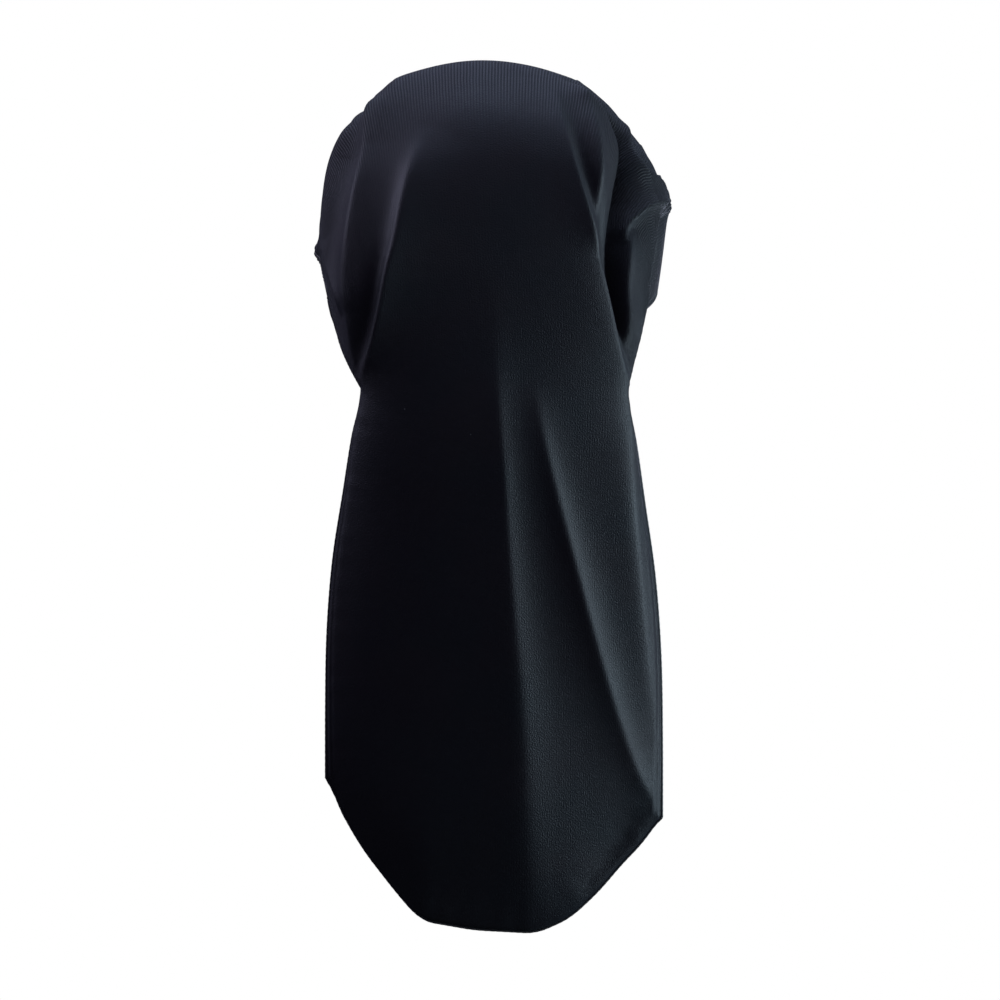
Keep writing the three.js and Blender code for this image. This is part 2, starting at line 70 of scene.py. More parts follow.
def box_mm(node):
    low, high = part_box(node)
    return np.array(low) / MM, np.array(high) / MM


_, band_seam_high = box_mm("band_seam")
side_seam_low, side_seam_high = box_mm("side_seam")
_, band_high = box_mm("head_band")

SEAM_HALF_WIDTH = band_seam_high[0] - CAD_ROLL / 2
SEAM_REACH = band_seam_high[1] - CAD_ROLL / 2
HEM_FRONT_REACH = band_high[1] - CAD_BAND_WALL / 2
BAG_HALF_WIDTH = side_seam_high[0] - CAD_ROLL / 2
HANG_REACH = -side_seam_low[1] - CAD_ROLL / 2
CAP_LENGTH = -side_seam_low[2] - CAD_ROLL / 2
print(f"band {2 * SEAM_HALF_WIDTH:.0f} wide, {2 * SEAM_REACH:.0f} deep")
print(f"bag {2 * BAG_HALF_WIDTH:.0f} wide, cap {CAP_LENGTH:.0f} long")

# %% The sizes between them
SEAM_DROP = 83  # from the crown down to the band's seam over the ears
BAND_WIDTH = 45
HEM_HALF_WIDTH = 81
HEM_NAPE_REACH = 82
CROWN_LEAN = -5  # sideways, towards the left
NECK_DROP = 165  # from the crown down to where the bag is narrowest
NECK_HALF_WIDTH = 66
SIDE_SEAM_TURN = math.radians(30)  # from the ear back to where the side seam starts
CORNER_TURN = math.radians(6)  # from there to the inner panel's corner
BAG_BACK_DEPTH = 21
BAG_FRONT_DEPTH = 15
END_HEIGHT = 83  # of the bag's rounded end
BAG_EDGE_TURN = math.radians(72)  # half the angle that each wall of the bag bends through

# %% [markdown]
# ## Curves through short tables
#
# A sewing pattern gives a few measures at marked places, and the cloth runs smoothly through them. A table
# does the same: each row is a marked place, named by its first column. The other columns are measures, mostly
# as shares of a size above. `curve` reads any of them at any place between the rows.


# %% A table, and a smooth curve through one of its columns
def rows_of(lines):
    """Rows of numbers from lines of text. A row that ends early goes on like the row above it."""
    rows = []
    for line in lines:
        row = [float(number) for number in line.split()]
        rows.append(row + rows[-1][len(row) :] if rows else row)
    return rows


def table(text):
    columns, *lines = text.strip().splitlines()
    return dict(zip(columns.split(), np.array(rows_of(lines)).T))


def curve(rows, column, where):
    x, y = next(iter(rows.values())), rows[column]
    last = len(x) - 1
    before = np.maximum(np.arange(len(x)) - 1, 0)
    after = np.minimum(np.arange(len(x)) + 1, last)
    slope = (y[after] - y[before]) / (x[after] - x[before])
    i = np.clip(np.searchsorted(x, where) - 1, 0, last - 1)
    span = x[i + 1] - x[i]
    t = np.clip((where - x[i]) / span, 0, 1)
    start = (2 * t**3 - 3 * t**2 + 1) * y[i] + (t**3 - 2 * t**2 + t) * span * slope[i]
    end = (3 * t**2 - 2 * t**3) * y[i + 1] + (t**3 - t**2) * span * slope[i + 1]
    return start + end


def lerp(a, b, share):
    return a + (b - a) * share


def smoothstep(value, low, high):
    t = np.clip((value - low) / (high - low), 0, 1)
    return t * t * (3 - 2 * t)


def points(x, y, z):
    return np.stack(np.broadcast_arrays(x, y, z), axis=-1).astype(float)


def lengths(vectors):
    return np.linalg.norm(vectors, axis=-1)


def unit(vectors):
    return vectors / np.maximum(lengths(vectors)[..., None], 1e-9)


def heading(turn):
    """The level direction at a turn round the head, from the right ear through the forehead."""
    return points(np.cos(turn), np.sin(turn), 0)


# %% The tables of the cap
# turn: degrees from the right ear through the forehead; seam: how far down the band's upper edge lies;
# width: of the band.
BAND = table("""
turn seam width
0 0.867 1
50 0.6 1.05
90 0.505 1.07
130 0.66 1.03
180 1.133 0.61
212 1.52 0.6
270 1.5 0.8
328 1 1.05
""")

# The outer panel's middle line from the forehead to the top of the crown.
FOREHEAD = table("""
along forward drop widest edge fullness
0 1 1 1 0 0.4
0.04 0.95 0.62 1 0.07 0.4
0.095 0.72 0.24 0.985 0.19 0.33
0.15 0.38 0.05 0.975 0.31 0.25
0.21 0 0 0.965 0.45 0.15
""")

# From the crown down to the neck.
BACK_OF_HEAD = table("""
along back drop widest edge fullness
0.262 0.26 0.025 0.78 0.57 0.1
0.32 0.51 0.12 0.6 0.69 0.05
0.377 0.7 0.26 0.45 0.785 0
0.43 0.83 0.435 0.32 0.865 0
0.478 0.91 0.62 0.19 0.925 0
0.52 0.965 0.81 0.07 0.97 0
0.558 1 1 0 1 0
""")

# The bag. behind and before: the depth of its two walls.
BAG = table("""
along fall wide behind before
0.558 0 0 0.9 0.4
0.62 0.125 0.27 1 0.8
0.68 0.26 0.5 1 1
0.76 0.44 0.8 0.97 1
0.84 0.63 0.96 0.85 0.88
0.93 0.85 1 0.55 0.55
1 1 1 0 0
""")

# The side seam from the band down to the neck.
SIDE_SEAM = table("""
edge out back down
0 1 0 0
0.12 1.22 0.11 0.11
0.25 1.28 0.24 0.22
0.5 1.12 0.52 0.46
0.75 0.65 0.8 0.72
1 0 1 1
""")

# The inner panel's middle line from the nape down to the neck.
NAPE = table("""
edge out down
0 0 0
0.15 0.7 0.02
0.35 0.9 0.16
0.6 0.75 0.42
0.8 0.5 0.7
1 0.29 1
""")

# The bag's rounded end, from the left corner to the right one.
BAG_END = table("""
across rise
-1 1
-0.955 0.82
-0.79 0.52
-0.56 0.22
-0.43 0.075
-0.12 0.02
0.25 0
0.45 0.09
0.63 0.26
0.76 0.42
0.89 0.55
1 0.72
""")

# %% [markdown]
# ## The band's place and the side seams
#
# The band is a slightly twisted ring: low over the left ear, high over the forehead. `band_point` gives any
# place on it. The side seam leaves it behind each ear, runs back and down to the neck, and then down the side
# of the bag.


# %% The band
BAND_LOOP = {name: np.tile(values, 3) for name, values in BAND.items()}
BAND_LOOP["turn"] = np.concatenate([BAND["turn"] + lap for lap in (-360, 0, 360)])


def band_point(turn, up):
    degrees = np.degrees(turn)
    hem_reach = np.where(np.sin(turn) > 0, HEM_FRONT_REACH, HEM_NAPE_REACH)
    drop = SEAM_DROP * curve(BAND_LOOP, "seam", degrees)
    width = BAND_WIDTH * curve(BAND_LOOP, "width", degrees)
    half_width = lerp(HEM_HALF_WIDTH, SEAM_HALF_WIDTH, up)
    reach = lerp(hem_reach, SEAM_REACH, up)
    return points(half_width * np.cos(turn), reach * np.sin(turn), -drop - width * (1 - up))


FOREHEAD_SEAM = band_point(np.pi / 2, 1)
NAPE_SEAM = band_point(-np.pi / 2, 1)
LEFT_START = band_point(np.pi + SIDE_SEAM_TURN, 1)
RIGHT_START = band_point(-SIDE_SEAM_TURN, 1)

# %% The outer panel's stations, from the forehead to the end of the bag
NECK_ALONG = BAG["along"][0]
CROWN_TOP = FOREHEAD["along"][-1]
BAG_OPENED = BAG["along"][3]
NECK_REACH = HANG_REACH + BAG_BACK_DEPTH * BAG["behind"][0]


def joined(forehead, back_of_head, bag):
    return np.concatenate([forehead, back_of_head, bag[1:]])


bag_rows = len(BAG["along"])
STATIONS = {
    "along": joined(FOREHEAD["along"], BACK_OF_HEAD["along"], BAG["along"]),
    "y": joined(
        FOREHEAD["forward"] * SEAM_REACH,
        -BACK_OF_HEAD["back"] * NECK_REACH,
        -HANG_REACH - BAG["behind"] * BAG_BACK_DEPTH,
    ),
    "z": joined(
        FOREHEAD["drop"] * FOREHEAD_SEAM[2],
        -BACK_OF_HEAD["drop"] * NECK_DROP,
        lerp(-NECK_DROP, -CAP_LENGTH, BAG["fall"]),
    ),
    "widest": joined(
        FOREHEAD["widest"] * SEAM_HALF_WIDTH,
        lerp(NECK_HALF_WIDTH, SEAM_HALF_WIDTH, BACK_OF_HEAD["widest"]),
        lerp(NECK_HALF_WIDTH, BAG_HALF_WIDTH, BAG["wide"]),
    ),
    "edge": joined(FOREHEAD["edge"], BACK_OF_HEAD["edge"], np.ones(bag_rows)),
    "fullness": joined(FOREHEAD["fullness"], BACK_OF_HEAD["fullness"], np.zeros(bag_rows)),
}


def station(column, along):
    return curve(STATIONS, column, along)


# %% The side seam
END_ROUNDING = (-0.06, -0.03, 0, 0.03, 0.06)  # the bag's end is the mean over these, so its corners are round


def end_rise(across):
    around = [np.interp(across + off, BAG_END["across"], BAG_END["rise"]) for off in END_ROUNDING]
    return END_HEIGHT * np.mean(around, axis=0)


def end_share(along):
    return np.where(along < NECK_ALONG, 0, curve(BAG, "fall", along))


def seam_line(side, along):
    start = np.where(np.asarray(side)[..., None] < 0, LEFT_START, RIGHT_START)
    edge = np.clip(station("edge", along), 0, 1)
    beside_head = points(
        lerp(side * NECK_HALF_WIDTH, start[..., 0], curve(SIDE_SEAM, "out", edge)),
        lerp(start[..., 1], -HANG_REACH, curve(SIDE_SEAM, "back", edge)),
        lerp(start[..., 2], -NECK_DROP, curve(SIDE_SEAM, "down", edge)),
    )
    beside_bag = points(
        side * np.minimum(station("widest", along), BAG_HALF_WIDTH),
        -HANG_REACH,
        station("z", along) + end_share(along) * end_rise(side),
    )
    return np.where((np.asarray(along) < NECK_ALONG)[..., None], beside_head, beside_bag)


# %% [markdown]
# ## The panels as arcs of cloth
#
# Seen from above, each row of a panel is an arc that starts at the left side seam, bulges out over the head
# or the locks and ends at the right side seam. So two numbers give every place on the cloth: `across` from -1
# to 1 and `along` from 0 to 1. A loft through drawn sections would give the same shape, but the two numbers
# also carry the knit's direction and the folds.


# %% One arc, and the two panels made of arcs
def arc_point(across, along, end, middle_y, middle_z, fullness):
    side = np.where(across < 0, -1.0, 1.0)
    edge = seam_line(side, along)
    turn = across * end
    share = np.sin(turn) / np.sin(end)
    rise = np.clip((np.cos(turn) - np.cos(end)) / (1 - np.cos(end)), 0, 1)
    level = edge[..., 2] - end_share(along) * end_rise(side)
    return points(
        np.abs(edge[..., 0]) * share,
        lerp(edge[..., 1], middle_y, rise),
        lerp(level, middle_z, rise ** (1 - fullness)) + end_share(along) * end_rise(share),
    )


def outer_arc(across, along):
    edge = np.abs(seam_line(np.where(across < 0, -1.0, 1.0), along)[..., 0])
    bulging = np.pi - np.arcsin(edge / np.maximum(station("widest", along), edge))
    end = lerp(bulging, BAG_EDGE_TURN, smoothstep(along, NECK_ALONG, BAG_OPENED))
    middle_y, middle_z, fullness = (station(column, along) for column in ("y", "z", "fullness"))
    point = arc_point(across, along, end, middle_y, middle_z, fullness)
    leaning = np.sin(np.pi * np.clip(along / NECK_ALONG, 0, 1)) * np.cos(across * np.pi / 2)
    point[..., 0] += CROWN_LEAN * leaning
    return point


def inner_arc(across, along):
    edge = np.clip(station("edge", along), 0, 1)
    opened = smoothstep(along, NECK_ALONG, BAG_OPENED)
    end = lerp(np.pi / 2 - SIDE_SEAM_TURN, BAG_EDGE_TURN, opened)
    over_nape = along < NECK_ALONG
    head_y = lerp(NAPE_SEAM[1], -HANG_REACH, curve(NAPE, "out", edge))
    head_z = lerp(NAPE_SEAM[2], -NECK_DROP, curve(NAPE, "down", edge))
    bag_y = curve(BAG, "before", along) * BAG_FRONT_DEPTH - HANG_REACH
    middle_y = np.where(over_nape, head_y, bag_y)
    middle_z = np.where(over_nape, head_z, station("z", along))
    return arc_point(across, along, end, middle_y, middle_z, 0)


def fitted_to_band(arc, across, along, turn, outside):
    sewn = band_point(turn, 1) + outside * heading(turn)
    share = 1 - smoothstep(along, 0, CROWN_TOP)
    return arc(across, along) + (sewn - arc(across, np.zeros_like(along))) * share[..., None]


def smooth_outer(across, along):
    turn = np.pi / 2 - across * (np.pi / 2 + SIDE_SEAM_TURN)
    return fitted_to_band(outer_arc, across, along, turn, 0)


def smooth_inner(across, along):
    turn = across * (np.pi / 2 - SIDE_SEAM_TURN - CORNER_TURN) - np.pi / 2
    return fitted_to_band(inner_arc, across, along, turn, CAD_BAND_WALL / 2)


# %% [markdown]
# ## Folds
#
# Pulled tight over the crown and loose below, the cloth gathers into long folds from the crown to the neck,
# and into softer ones down the bag. Simulated cloth would fold where it likes, so each fold is drawn as a
# line of places as they show from behind. `on_cloth` finds each place on the smooth cloth.


# %% Places on a cloth as they show from behind
SLIVER = 0.002  # left free at both ends of a row
FACES_AWAY = 1000  # added to the distance of places on the side that doesn't show
STEEPEST = 0.35  # a slope that turns away more than this counts as this steep
CREST_TRIES = 3


def grid_normals(grid):
    down, right = np.gradient(grid, axis=0), np.gradient(grid, axis=1)
    return unit(np.cross(down, right))


def share_grid(alongs, columns):
    along = alongs[:, None] + np.zeros((1, columns))
    across = np.linspace(-1 + SLIVER, 1 - SLIVER, columns)[None, :] + np.zeros((len(alongs), 1))
    return across, along


class Guide:
    """A smooth cloth, to look up the place that shows at x, z from behind, or from the front if far."""

    def __init__(self, grid):
        self.spots = grid.reshape(-1, 3)
        self.out = grid_normals(grid).reshape(-1, 3)

    def nearest(self, x, z, far):
        facing = (self.out[:, 1] > 0) == far
        miss = np.hypot(self.spots[:, 0] - x, self.spots[:, 2] - z) + np.where(facing, 0, FACES_AWAY)
        return self.spots[miss.argmin()], self.out[miss.argmin()]

    def on_cloth(self, x, z, far, height):
        for _ in range(CREST_TRIES):  # the crest shows at x, z only when the place below it lies further in
            out = self.nearest(x, z, far)[1]
            spot, out = self.nearest(x - out[0] * height, z - out[2] * height, far)
        x, z = x - out[0] * height, z - out[2] * height
        slope = np.sign(out[1]) * max(abs(out[1]), STEEPEST)
        return x, spot[1] - (out[0] * (x - spot[0]) + out[2] * (z - spot[2])) / slope, z


# %% The folds of the outer panel
# Each starts with a name, and with how many of its rows lie over the edge, on the side that faces away.
# A row holds x and z, how high the fold stands, how wide its left and its right side are, how round its crest
# is, and how far the cloth tucks in beside it: to the right, or to the left where the number is negative.
Fold = namedtuple("Fold", "name far lines")


def folds_of(text):
    folds = []
    for line in text.strip().splitlines():
        if line[0].isalpha():
            name, far = line.split(", ")
            folds.append(Fold(name, int(far), []))
        else:
            folds[-1].lines.append(line)
    return folds


CROWN_FOLDS = folds_of("""
left edge of the middle, 0
-31 -35 0 6 10 4 0
-35 -41 1 5 12
-39 -49 2.5 4 16 3.2
-43.5 -62.5 4.5 3.2 20 2.2
-49 -89.5 5.5 2.8 20 1.5
-52.5 -102.5 5.5 2.6 18 1.2 -1
-58 -128.8 4.5 2.6 15 1 -2
-63.5 -150.5 3 2.6 12 0.9 -1
-66.5 -166 0 2.5 10 1 0
left shoulder of the crown, 2
-36 -9 0 6 14 6 0
-43 -10.5 2 6 14 5
-50 -15 4 6 14 4
-55 -27 3 6 14 5
-58 -45 0 8 12 6
dent beside the left shoulder, 1
-52 -12 0 4 4 3 0
-59 -19 -2.5
-63 -27 -1.5
-65 -34 0
left outer ridge, 1
-54 -17 0 3 12 1.5 0
-57.5 -21 2 3 12 1.2 -2
-60.6 -25.5 4 4 12 1.2 -2.5
-64.4 -41.8 6 6 12 1 -1
-68.2 -57 8.5 8 13 1 0
-71.5 -72.2 10 9 14
-74.2 -93 10
-74.7 -113.5 8.5 7
-73.1 -128.8 6.5 5 11
-70.9 -145 3 4 8
-67.7 -157 0 3 7
left lobe, 0
-64 -22 0 9 9 7 0
-70 -28 6
-76 -36 7.5
-82 -50 5.5 10 10
-84 -70 3
-83 -90 0 9 9 6
left ridge over the band, 0
-86.5 -84 0 2.5 5 1 0
-85 -96 2.6
-83.4 -102.7 3
-80.2 -111.4 3
-76 -121 2.5
-73.4 -129 0
right edge of the middle, 0
25 -10 0 20 6 4 0
28.5 -16 1 20 5 3
31 -24 2 22 4 2.5 1
38 -47.5 4 24 3.5 1.6 3
45 -71 5 24 3.5 1.3 4
52 -95.5 5 24 3.5 1.2
57 -115.5 5 22 3.5 1.2 3.5
62 -140 4 18 3 1.2 2.5
66 -160.5 2 12 3 1.2 1
68 -172 0 10 3 1.2 0
right inner ridge, 0
36 -10.5 0 8 8 1.5 0
44 -16.5 3 10
50 -26.5 6 12 7 1.3
55 -48.5 8.5 12 6 1.1
55 -62.5 8.5 10
53 -83.5 6 7 5
52.5 -100 0 5
right valley, 1
37 -8 0 4 4 1.5 0
42 -13 -3
51 -20.5 -6
62 -31.5 -8
68 -41.5 -12 5 5
70 -53 -16 6 7 2
69 -66 -19 7 9 2.5
66 -82 -19 7 9 3
65 -98 -18 6
66 -116 -15 5 8
67.5 -135 -9 4 5 2
68.5 -158 0 4 4
hollow of the right shoulder, 0
44 -9 0 10 14 7 0
58 -18 -4.5 9
67 -28 -7.5 8 14 6
76 -40 -8
82 -50 -6.5
86 -60 -4 8 12 5
87 -70 0
right shoulder of the crown, 1
35 -14 0 4 8 4 0
46 -18 3.5
56 -25 2
64 -35 -2 4 6 3
70 -44 -1
75 -52 0
right ridge to the ear, 0
66 -29 0 5 3 1.2 0
71 -35 3.5 6 3 1.2 2
77 -45 5 7 3 1.1 3
81 -55.5 3.5 7 3 1.1 2.5
85.5 -64 1 6 3 1.1 1
88 -70 0 6 3 1.1 0
right ridge over the band, 0
89 -69 0 7 2 1 0
84.5 -71 4
79 -74.5 5.5
74.5 -80.5 5.5
71 -90 0 6
right edge of the cloth, 0
74 -82 0 7 4 1.5 0
75 -92 4.5 8 3.5
74.5 -108 5.5
73 -128 4.5 5
70 -147 2 4 4
67.5 -162 0
""")

BAG_FOLDS = folds_of("""
middle ridge of the bag, 0
0 -95 0 25 14 5 0
0 -125 0.8 25 14 4
0.5 -150 2.2 28 12 3
2 -175 4 30 10 1.8
4.5 -205 5 30 10 1.5
7 -245 6 30 10.5 1.7
10 -285 6.5 30 12 2.6
13.5 -330 6.5 30 14 4
15.5 -380 5.5 28 15 6
17 -415 3 25 13 7
19 -436 0.5 25 12 6
ridge to the right corner, 0
19 -160 0 10 8 3 0
24 -187 2.6 10 7 1.5
30.5 -215 4 10 7 1.2
39.5 -250 5 11 7.5
50 -290 5 12 8
62 -330 4.5 12 8 1
72.5 -358 4 11 7
82 -375 2 9 6
flat part at the right edge, 0
60 -150 0 14 5 4 0
66 -175 3 15
68 -205 5.5 17
71 -245 6.5 18 5.5
75 -290 5 16 5
78.5 -330 2 12
80 -350 0 10
dimple at the lower right, 0
72 -374 0 6 6 3 0
64 -389 -1.6
53 -403 -1.6
42 -420 0
""")
for part, folds in (("crown", CROWN_FOLDS), ("bag", BAG_FOLDS)):
    print(f"{part}:", ", ".join(fold.name for fold in folds))


# %% How high each fold stands
def smooth_rows(rows, steps):
    """Even places along a smooth line through rows, whose first three columns are x, y and z."""
    run = np.cumsum(lengths(np.diff(rows[:, :3], axis=0)))
    columns = {"at": np.concatenate([[0], run]), **dict(enumerate(rows.T))}
    at = np.linspace(0, columns["at"][-1], steps + 1)
    return np.stack([curve(columns, i, at) for i in range(rows.shape[1])], axis=-1)


def nearest_on(line, spots):
    """The nearest place on a line to each spot, and how far along the line it is, from 0 to 1."""
    best = np.full(spots.shape[:-1], np.inf)
    place, share = np.zeros_like(spots), np.zeros(spots.shape[:-1])
    for i in range(len(line) - 1):
        step = line[i + 1] - line[i]
        t = np.clip((spots - line[i]) @ step / (step @ step), 0, 1)
        near = line[i] + t[..., None] * step
        distance = ((spots - near) ** 2).sum(-1)
        closer = distance < best
        best = np.where(closer, distance, best)
        place = np.where(closer[..., None], near, place)
        share = np.where(closer, (i + t) / (len(line) - 1), share)
    return place, share


FOLD_STEPS = 90
FOLD_REACH = 90  # nothing of a fold is left farther away
UNDER = 0.5  # how far a tuck slides under its crest, as a share of its depth


def fold_shift(fold, guide, spots, out):
    """How far a fold moves each spot: out of the cloth, and at a tuck also sideways, under the crest."""
    rows = [
        guide.on_cloth(x, z, i < fold.far, max(height, 0)) + (height, *rest)
        for i, (x, z, height, *rest) in enumerate(rows_of(fold.lines))
    ]
    smooth = smooth_rows(np.array(rows, float), FOLD_STEPS)
    line, measures = smooth[:, :3], smooth[:, 3:]
    low, high = line.min(0) - FOLD_REACH, line.max(0) + FOLD_REACH
    near = ((spots > low) & (spots < high)).all(-1)
    place, share = nearest_on(line, spots[near])
    steps = np.linspace(0, 1, FOLD_STEPS + 1)
    height, left, right, crest, tuck = (np.interp(share, steps, column) for column in measures.T)
    beside = spots[near] - place
    ways = unit(np.gradient(line, axis=0)).T
    ahead = np.stack([np.interp(share, steps, way) for way in ways], axis=-1)
    to_right = unit(np.cross(out[near], ahead))
    on_right = (beside * to_right).sum(-1) > 0
    away = lengths(beside)
    width = np.where(on_right, right, left)
    rise = np.exp(-(np.hypot(away, crest) - crest) / width)
    depth = np.where(on_right, np.maximum(tuck, 0), np.maximum(-tuck, 0))
    dip = (away / width / 2) ** 2
    under = UNDER * depth * (1 - np.exp(-away / width)) * np.exp(-away / width / 4)
    shift = np.zeros_like(spots)
    shift[near] = out[near] * (height * rise - depth * dip * np.exp(1 - dip))[:, None]
    shift[near] += to_right * (under * np.where(on_right, -1, 1))[:, None]
    return shift


# %% [markdown]
# ## Where the cloth meets its seams
#
# A panel ends at the roll of its seam, not in the middle of it. `beside_seams` moves the last few millimetres
# of cloth away from the seam's line. There the cloth is also pressed thin, drawn into small waves by the
# stitching, and turned up into a low edge. `tabbed` pulls it outwards, with its seam, at the two corners
# where the band's folded seam stands out.

# %% The seams' lines
ROLL = 1.2  # diameter of the seams
SEAM_STEPS = 300

band_turns = np.linspace(0, 2 * np.pi, SEAM_STEPS + 1)
BAND_SEAM_LINE = band_point(band_turns, 1)

seam_alongs = np.linspace(0, 1, SEAM_STEPS)[:-1]
end_across = np.sin(np.linspace(-1, 1, SEAM_STEPS // 2) * np.pi / 2)
left_line, right_line = (seam_line(np.full_like(seam_alongs, side), seam_alongs) for side in (-1, 1))
end_line = points(end_across * BAG_HALF_WIDTH, -HANG_REACH, end_rise(end_across) - CAP_LENGTH)
SIDE_SEAM_LINE = np.concatenate([left_line, end_line, right_line[::-1]])


def line_length(line):
    return lengths(np.diff(line, axis=0)).sum()


print(f"band seam {line_length(BAND_SEAM_LINE):.0f} mm, side seam {line_length(SIDE_SEAM_LINE):.0f} mm")

# %% The cloth beside them
SEAM_CLEAR = ROLL / 2 - 0.1  # from a seam's line to the edge of the cloth
SEAM_EASE = 11
EDGE_APART = 0.5  # between the two panels' middles at the side seam
WALLS_APART = 1.9  # and away from it
PRESSED = 0.4  # share of the cloth's thickness left at a seam
PRESSED_REACH = 5
PUCKER = 0.12  # height of the small waves that the stitching draws the cloth into
PUCKER_PITCH = 9
PUCKER_REACH = 9
PUCKER_WAVES = ((1, 1, 0), (0.6, 0.53, 1.3), (0.5, 1.37, 0.4))  # size, pace and start of each wave
PUCKER_FREE = (0.5, 4)  # the waves grow to their full height between these distances from the seam
BEAD = 0.5  # height of the turned edge beside a seam
BEAD_PLACE, BEAD_REACH = 2.0, 0.9
TABS = ((0.0, 1.8, 5.0), (math.pi * 1.01, 3.0, 5.0))  # turn round the head, how far out, how wide


def nearest_seam(spots):
    """The nearest place on either seam, how far away it is, and the length of seam up to it."""
    found = []
    for line in (BAND_SEAM_LINE, SIDE_SEAM_LINE):
        near, share = nearest_on(line, spots)
        found.append((near, lengths(spots - near), share * line_length(line)))
    (on_band, to_band, band_run), (on_side, to_side, side_run) = found
    near = np.where((to_band < to_side)[..., None], on_band, on_side)
    return near, np.minimum(to_band, to_side), np.where(to_band < to_side, band_run, side_run)


def puckers(distance, run):
    turn = 2 * np.pi * run / PUCKER_PITCH
    wave = sum(size * np.sin(pace * turn + start) for size, pace, start in PUCKER_WAVES)
    return PUCKER * wave * smoothstep(distance, *PUCKER_FREE) * np.exp(-distance / PUCKER_REACH)


def turned_edge(distance):
    return BEAD * np.exp(-(((distance - BEAD_PLACE) / BEAD_REACH) ** 2))


def tabbed(spots):
    """Moves all that lies at the two corners of the band's seam a little outwards."""
    for turn, out, reach in TABS:
        corner = band_point(turn, 1)
        share = np.exp(-(((spots - corner) / reach) ** 2).sum(-1))
        spots = spots + share[..., None] * out * heading(turn)
    return spots


def beside_seams(spots, near):
    distance = lengths(spots - near)
    moved = lerp(SEAM_CLEAR, SEAM_EASE, np.minimum(distance / SEAM_EASE, 1))
    eased = near + unit(spots - near) * moved[..., None]
    return np.where((distance < SEAM_EASE)[..., None], eased, spots)


# %% A wall of cloth from a grid of places
# The side that shows keeps every point, and its lining one in three each way, because nobody sees it closely.
LINING_STEP = 3


def arc_lengths(grid, axis):
    steps = lengths(np.diff(grid, axis=axis))
    zero = np.zeros_like(np.take(steps, [0], axis=axis))
    return np.concatenate([zero, np.cumsum(steps, axis=axis)], axis=axis)


def new_object(name, data):
    thing = bpy.data.objects.new(name, data)
    scene.collection.objects.link(thing)
    return thing


def new_mesh(name, spots, faces, cloth_uv=None, opened=None):
    mesh = bpy.data.meshes.new(name)
    mesh.from_pydata((spots.reshape(-1, 3) * MM).tolist(), [], faces)
    mesh.polygons.foreach_set("use_smooth", np.ones(len(mesh.polygons), bool))
    if cloth_uv is not None:
        corner_vertex = np.zeros(len(mesh.loops), np.int32)
        mesh.loops.foreach_get("vertex_index", corner_vertex)
        layer = mesh.uv_layers.new(name="cloth")
        layer.data.foreach_set("uv", (cloth_uv.reshape(-1, 2)[corner_vertex] * MM).ravel())
    if opened is not None:
        mesh.attributes.new("opened", "FLOAT", "POINT").data.foreach_set("value", opened.ravel())
    mesh.update()
    return new_object(name, mesh)


def grid_faces(index):
    a, b, c, d = index[:-1, :-1], index[1:, :-1], index[1:, 1:], index[:-1, 1:]
    return np.stack([a, b, c, d], axis=-1).reshape(-1, 4)


def rim_faces(outside, lining):
    """Closes one side of a wall, between a row of its outside and the coarser row of its lining."""
    step = LINING_STEP
    faces = []
    for i in range(len(lining) - 1):
        strip = outside[i * step : (i + 1) * step + 1]
        faces.append([int(strip[0]), int(lining[i]), int(lining[i + 1]), *(int(v) for v in strip[:0:-1])])
    return faces


def cloth_wall(name, grid, thickness, cloth_uv, opened):
    step = LINING_STEP
    out = grid_normals(grid) * thickness[..., None] / 2
    index = np.arange(grid[..., 0].size).reshape(grid.shape[:2])
    few = index[::step, ::step]
    lining = index.size + np.arange(few.size).reshape(few.shape)
    faces = grid_faces(index).tolist() + grid_faces(lining)[:, ::-1].tolist()
    for outside, inside in (
        (index[0, ::-1], lining[0, ::-1]),
        (index[-1], lining[-1]),
        (index[:, 0], lining[:, 0]),
        (index[::-1, -1], lining[::-1, -1]),
    ):
        faces += rim_faces(outside, inside)

    def both(front, back):
        return np.concatenate([front.reshape(-1, *front.shape[2:]), back.reshape(-1, *back.shape[2:])])

    spots = both(grid + out, (grid - out)[::step, ::step])
    both_uv, both_opened = (both(values, values[::step, ::step]) for values in (cloth_uv, opened))
    piece = new_mesh(name, spots, faces, both_uv, both_opened)
    area = lengths(np.cross(np.gradient(grid, axis=0), np.gradient(grid, axis=1))).sum()
    triangles = sum(len(face) - 2 for face in faces)
    print(f"{name}: {triangles} triangles, {area * MM * MM:.4f} square metres")
    return piece


# %% [markdown]
# ## The outer panel
#
# This is the piece that shows most. The folds are added along the smooth cloth's normals, and then the edges
# are eased beside the seams. The map that carries the knit is in real lengths of cloth, across from the
# middle line and along from the forehead. The crown stretches the knit, so its ribs lie further apart there
# and open up. The attribute `opened` tells the finish how much.

# %% Make the outer panel
CLOTH = 1.2
CROWN_STRETCH = 1.23
OUTER_ROWS, OUTER_COLUMNS = 241, 301  # each one more than a multiple of the lining's step
ROW_SHARES = (0, 0.03, 0.14, 0.63, 1)  # more rows at the seam and where the folds are sharp
ROW_ALONGS = (0.0004, 0.01, 0.17, 0.57, 0.9996)
EVENING = 60  # how many times the rows at the neck are evened out
NECK_EASE = (0.04, 0.09)  # and how far from the neck, as shares of the cloth's length
EVEN_FREE = (0, 8)  # the evening grows to its full strength between these distances from a seam
FOLDS_FREE = (0.5, 6)  # and so do the folds
LEAST_OPENED = 0.08  # how far the ribs open on the bag, as a share of the crown
OPENED_ALONG = (CROWN_TOP + 0.06, 0.385)


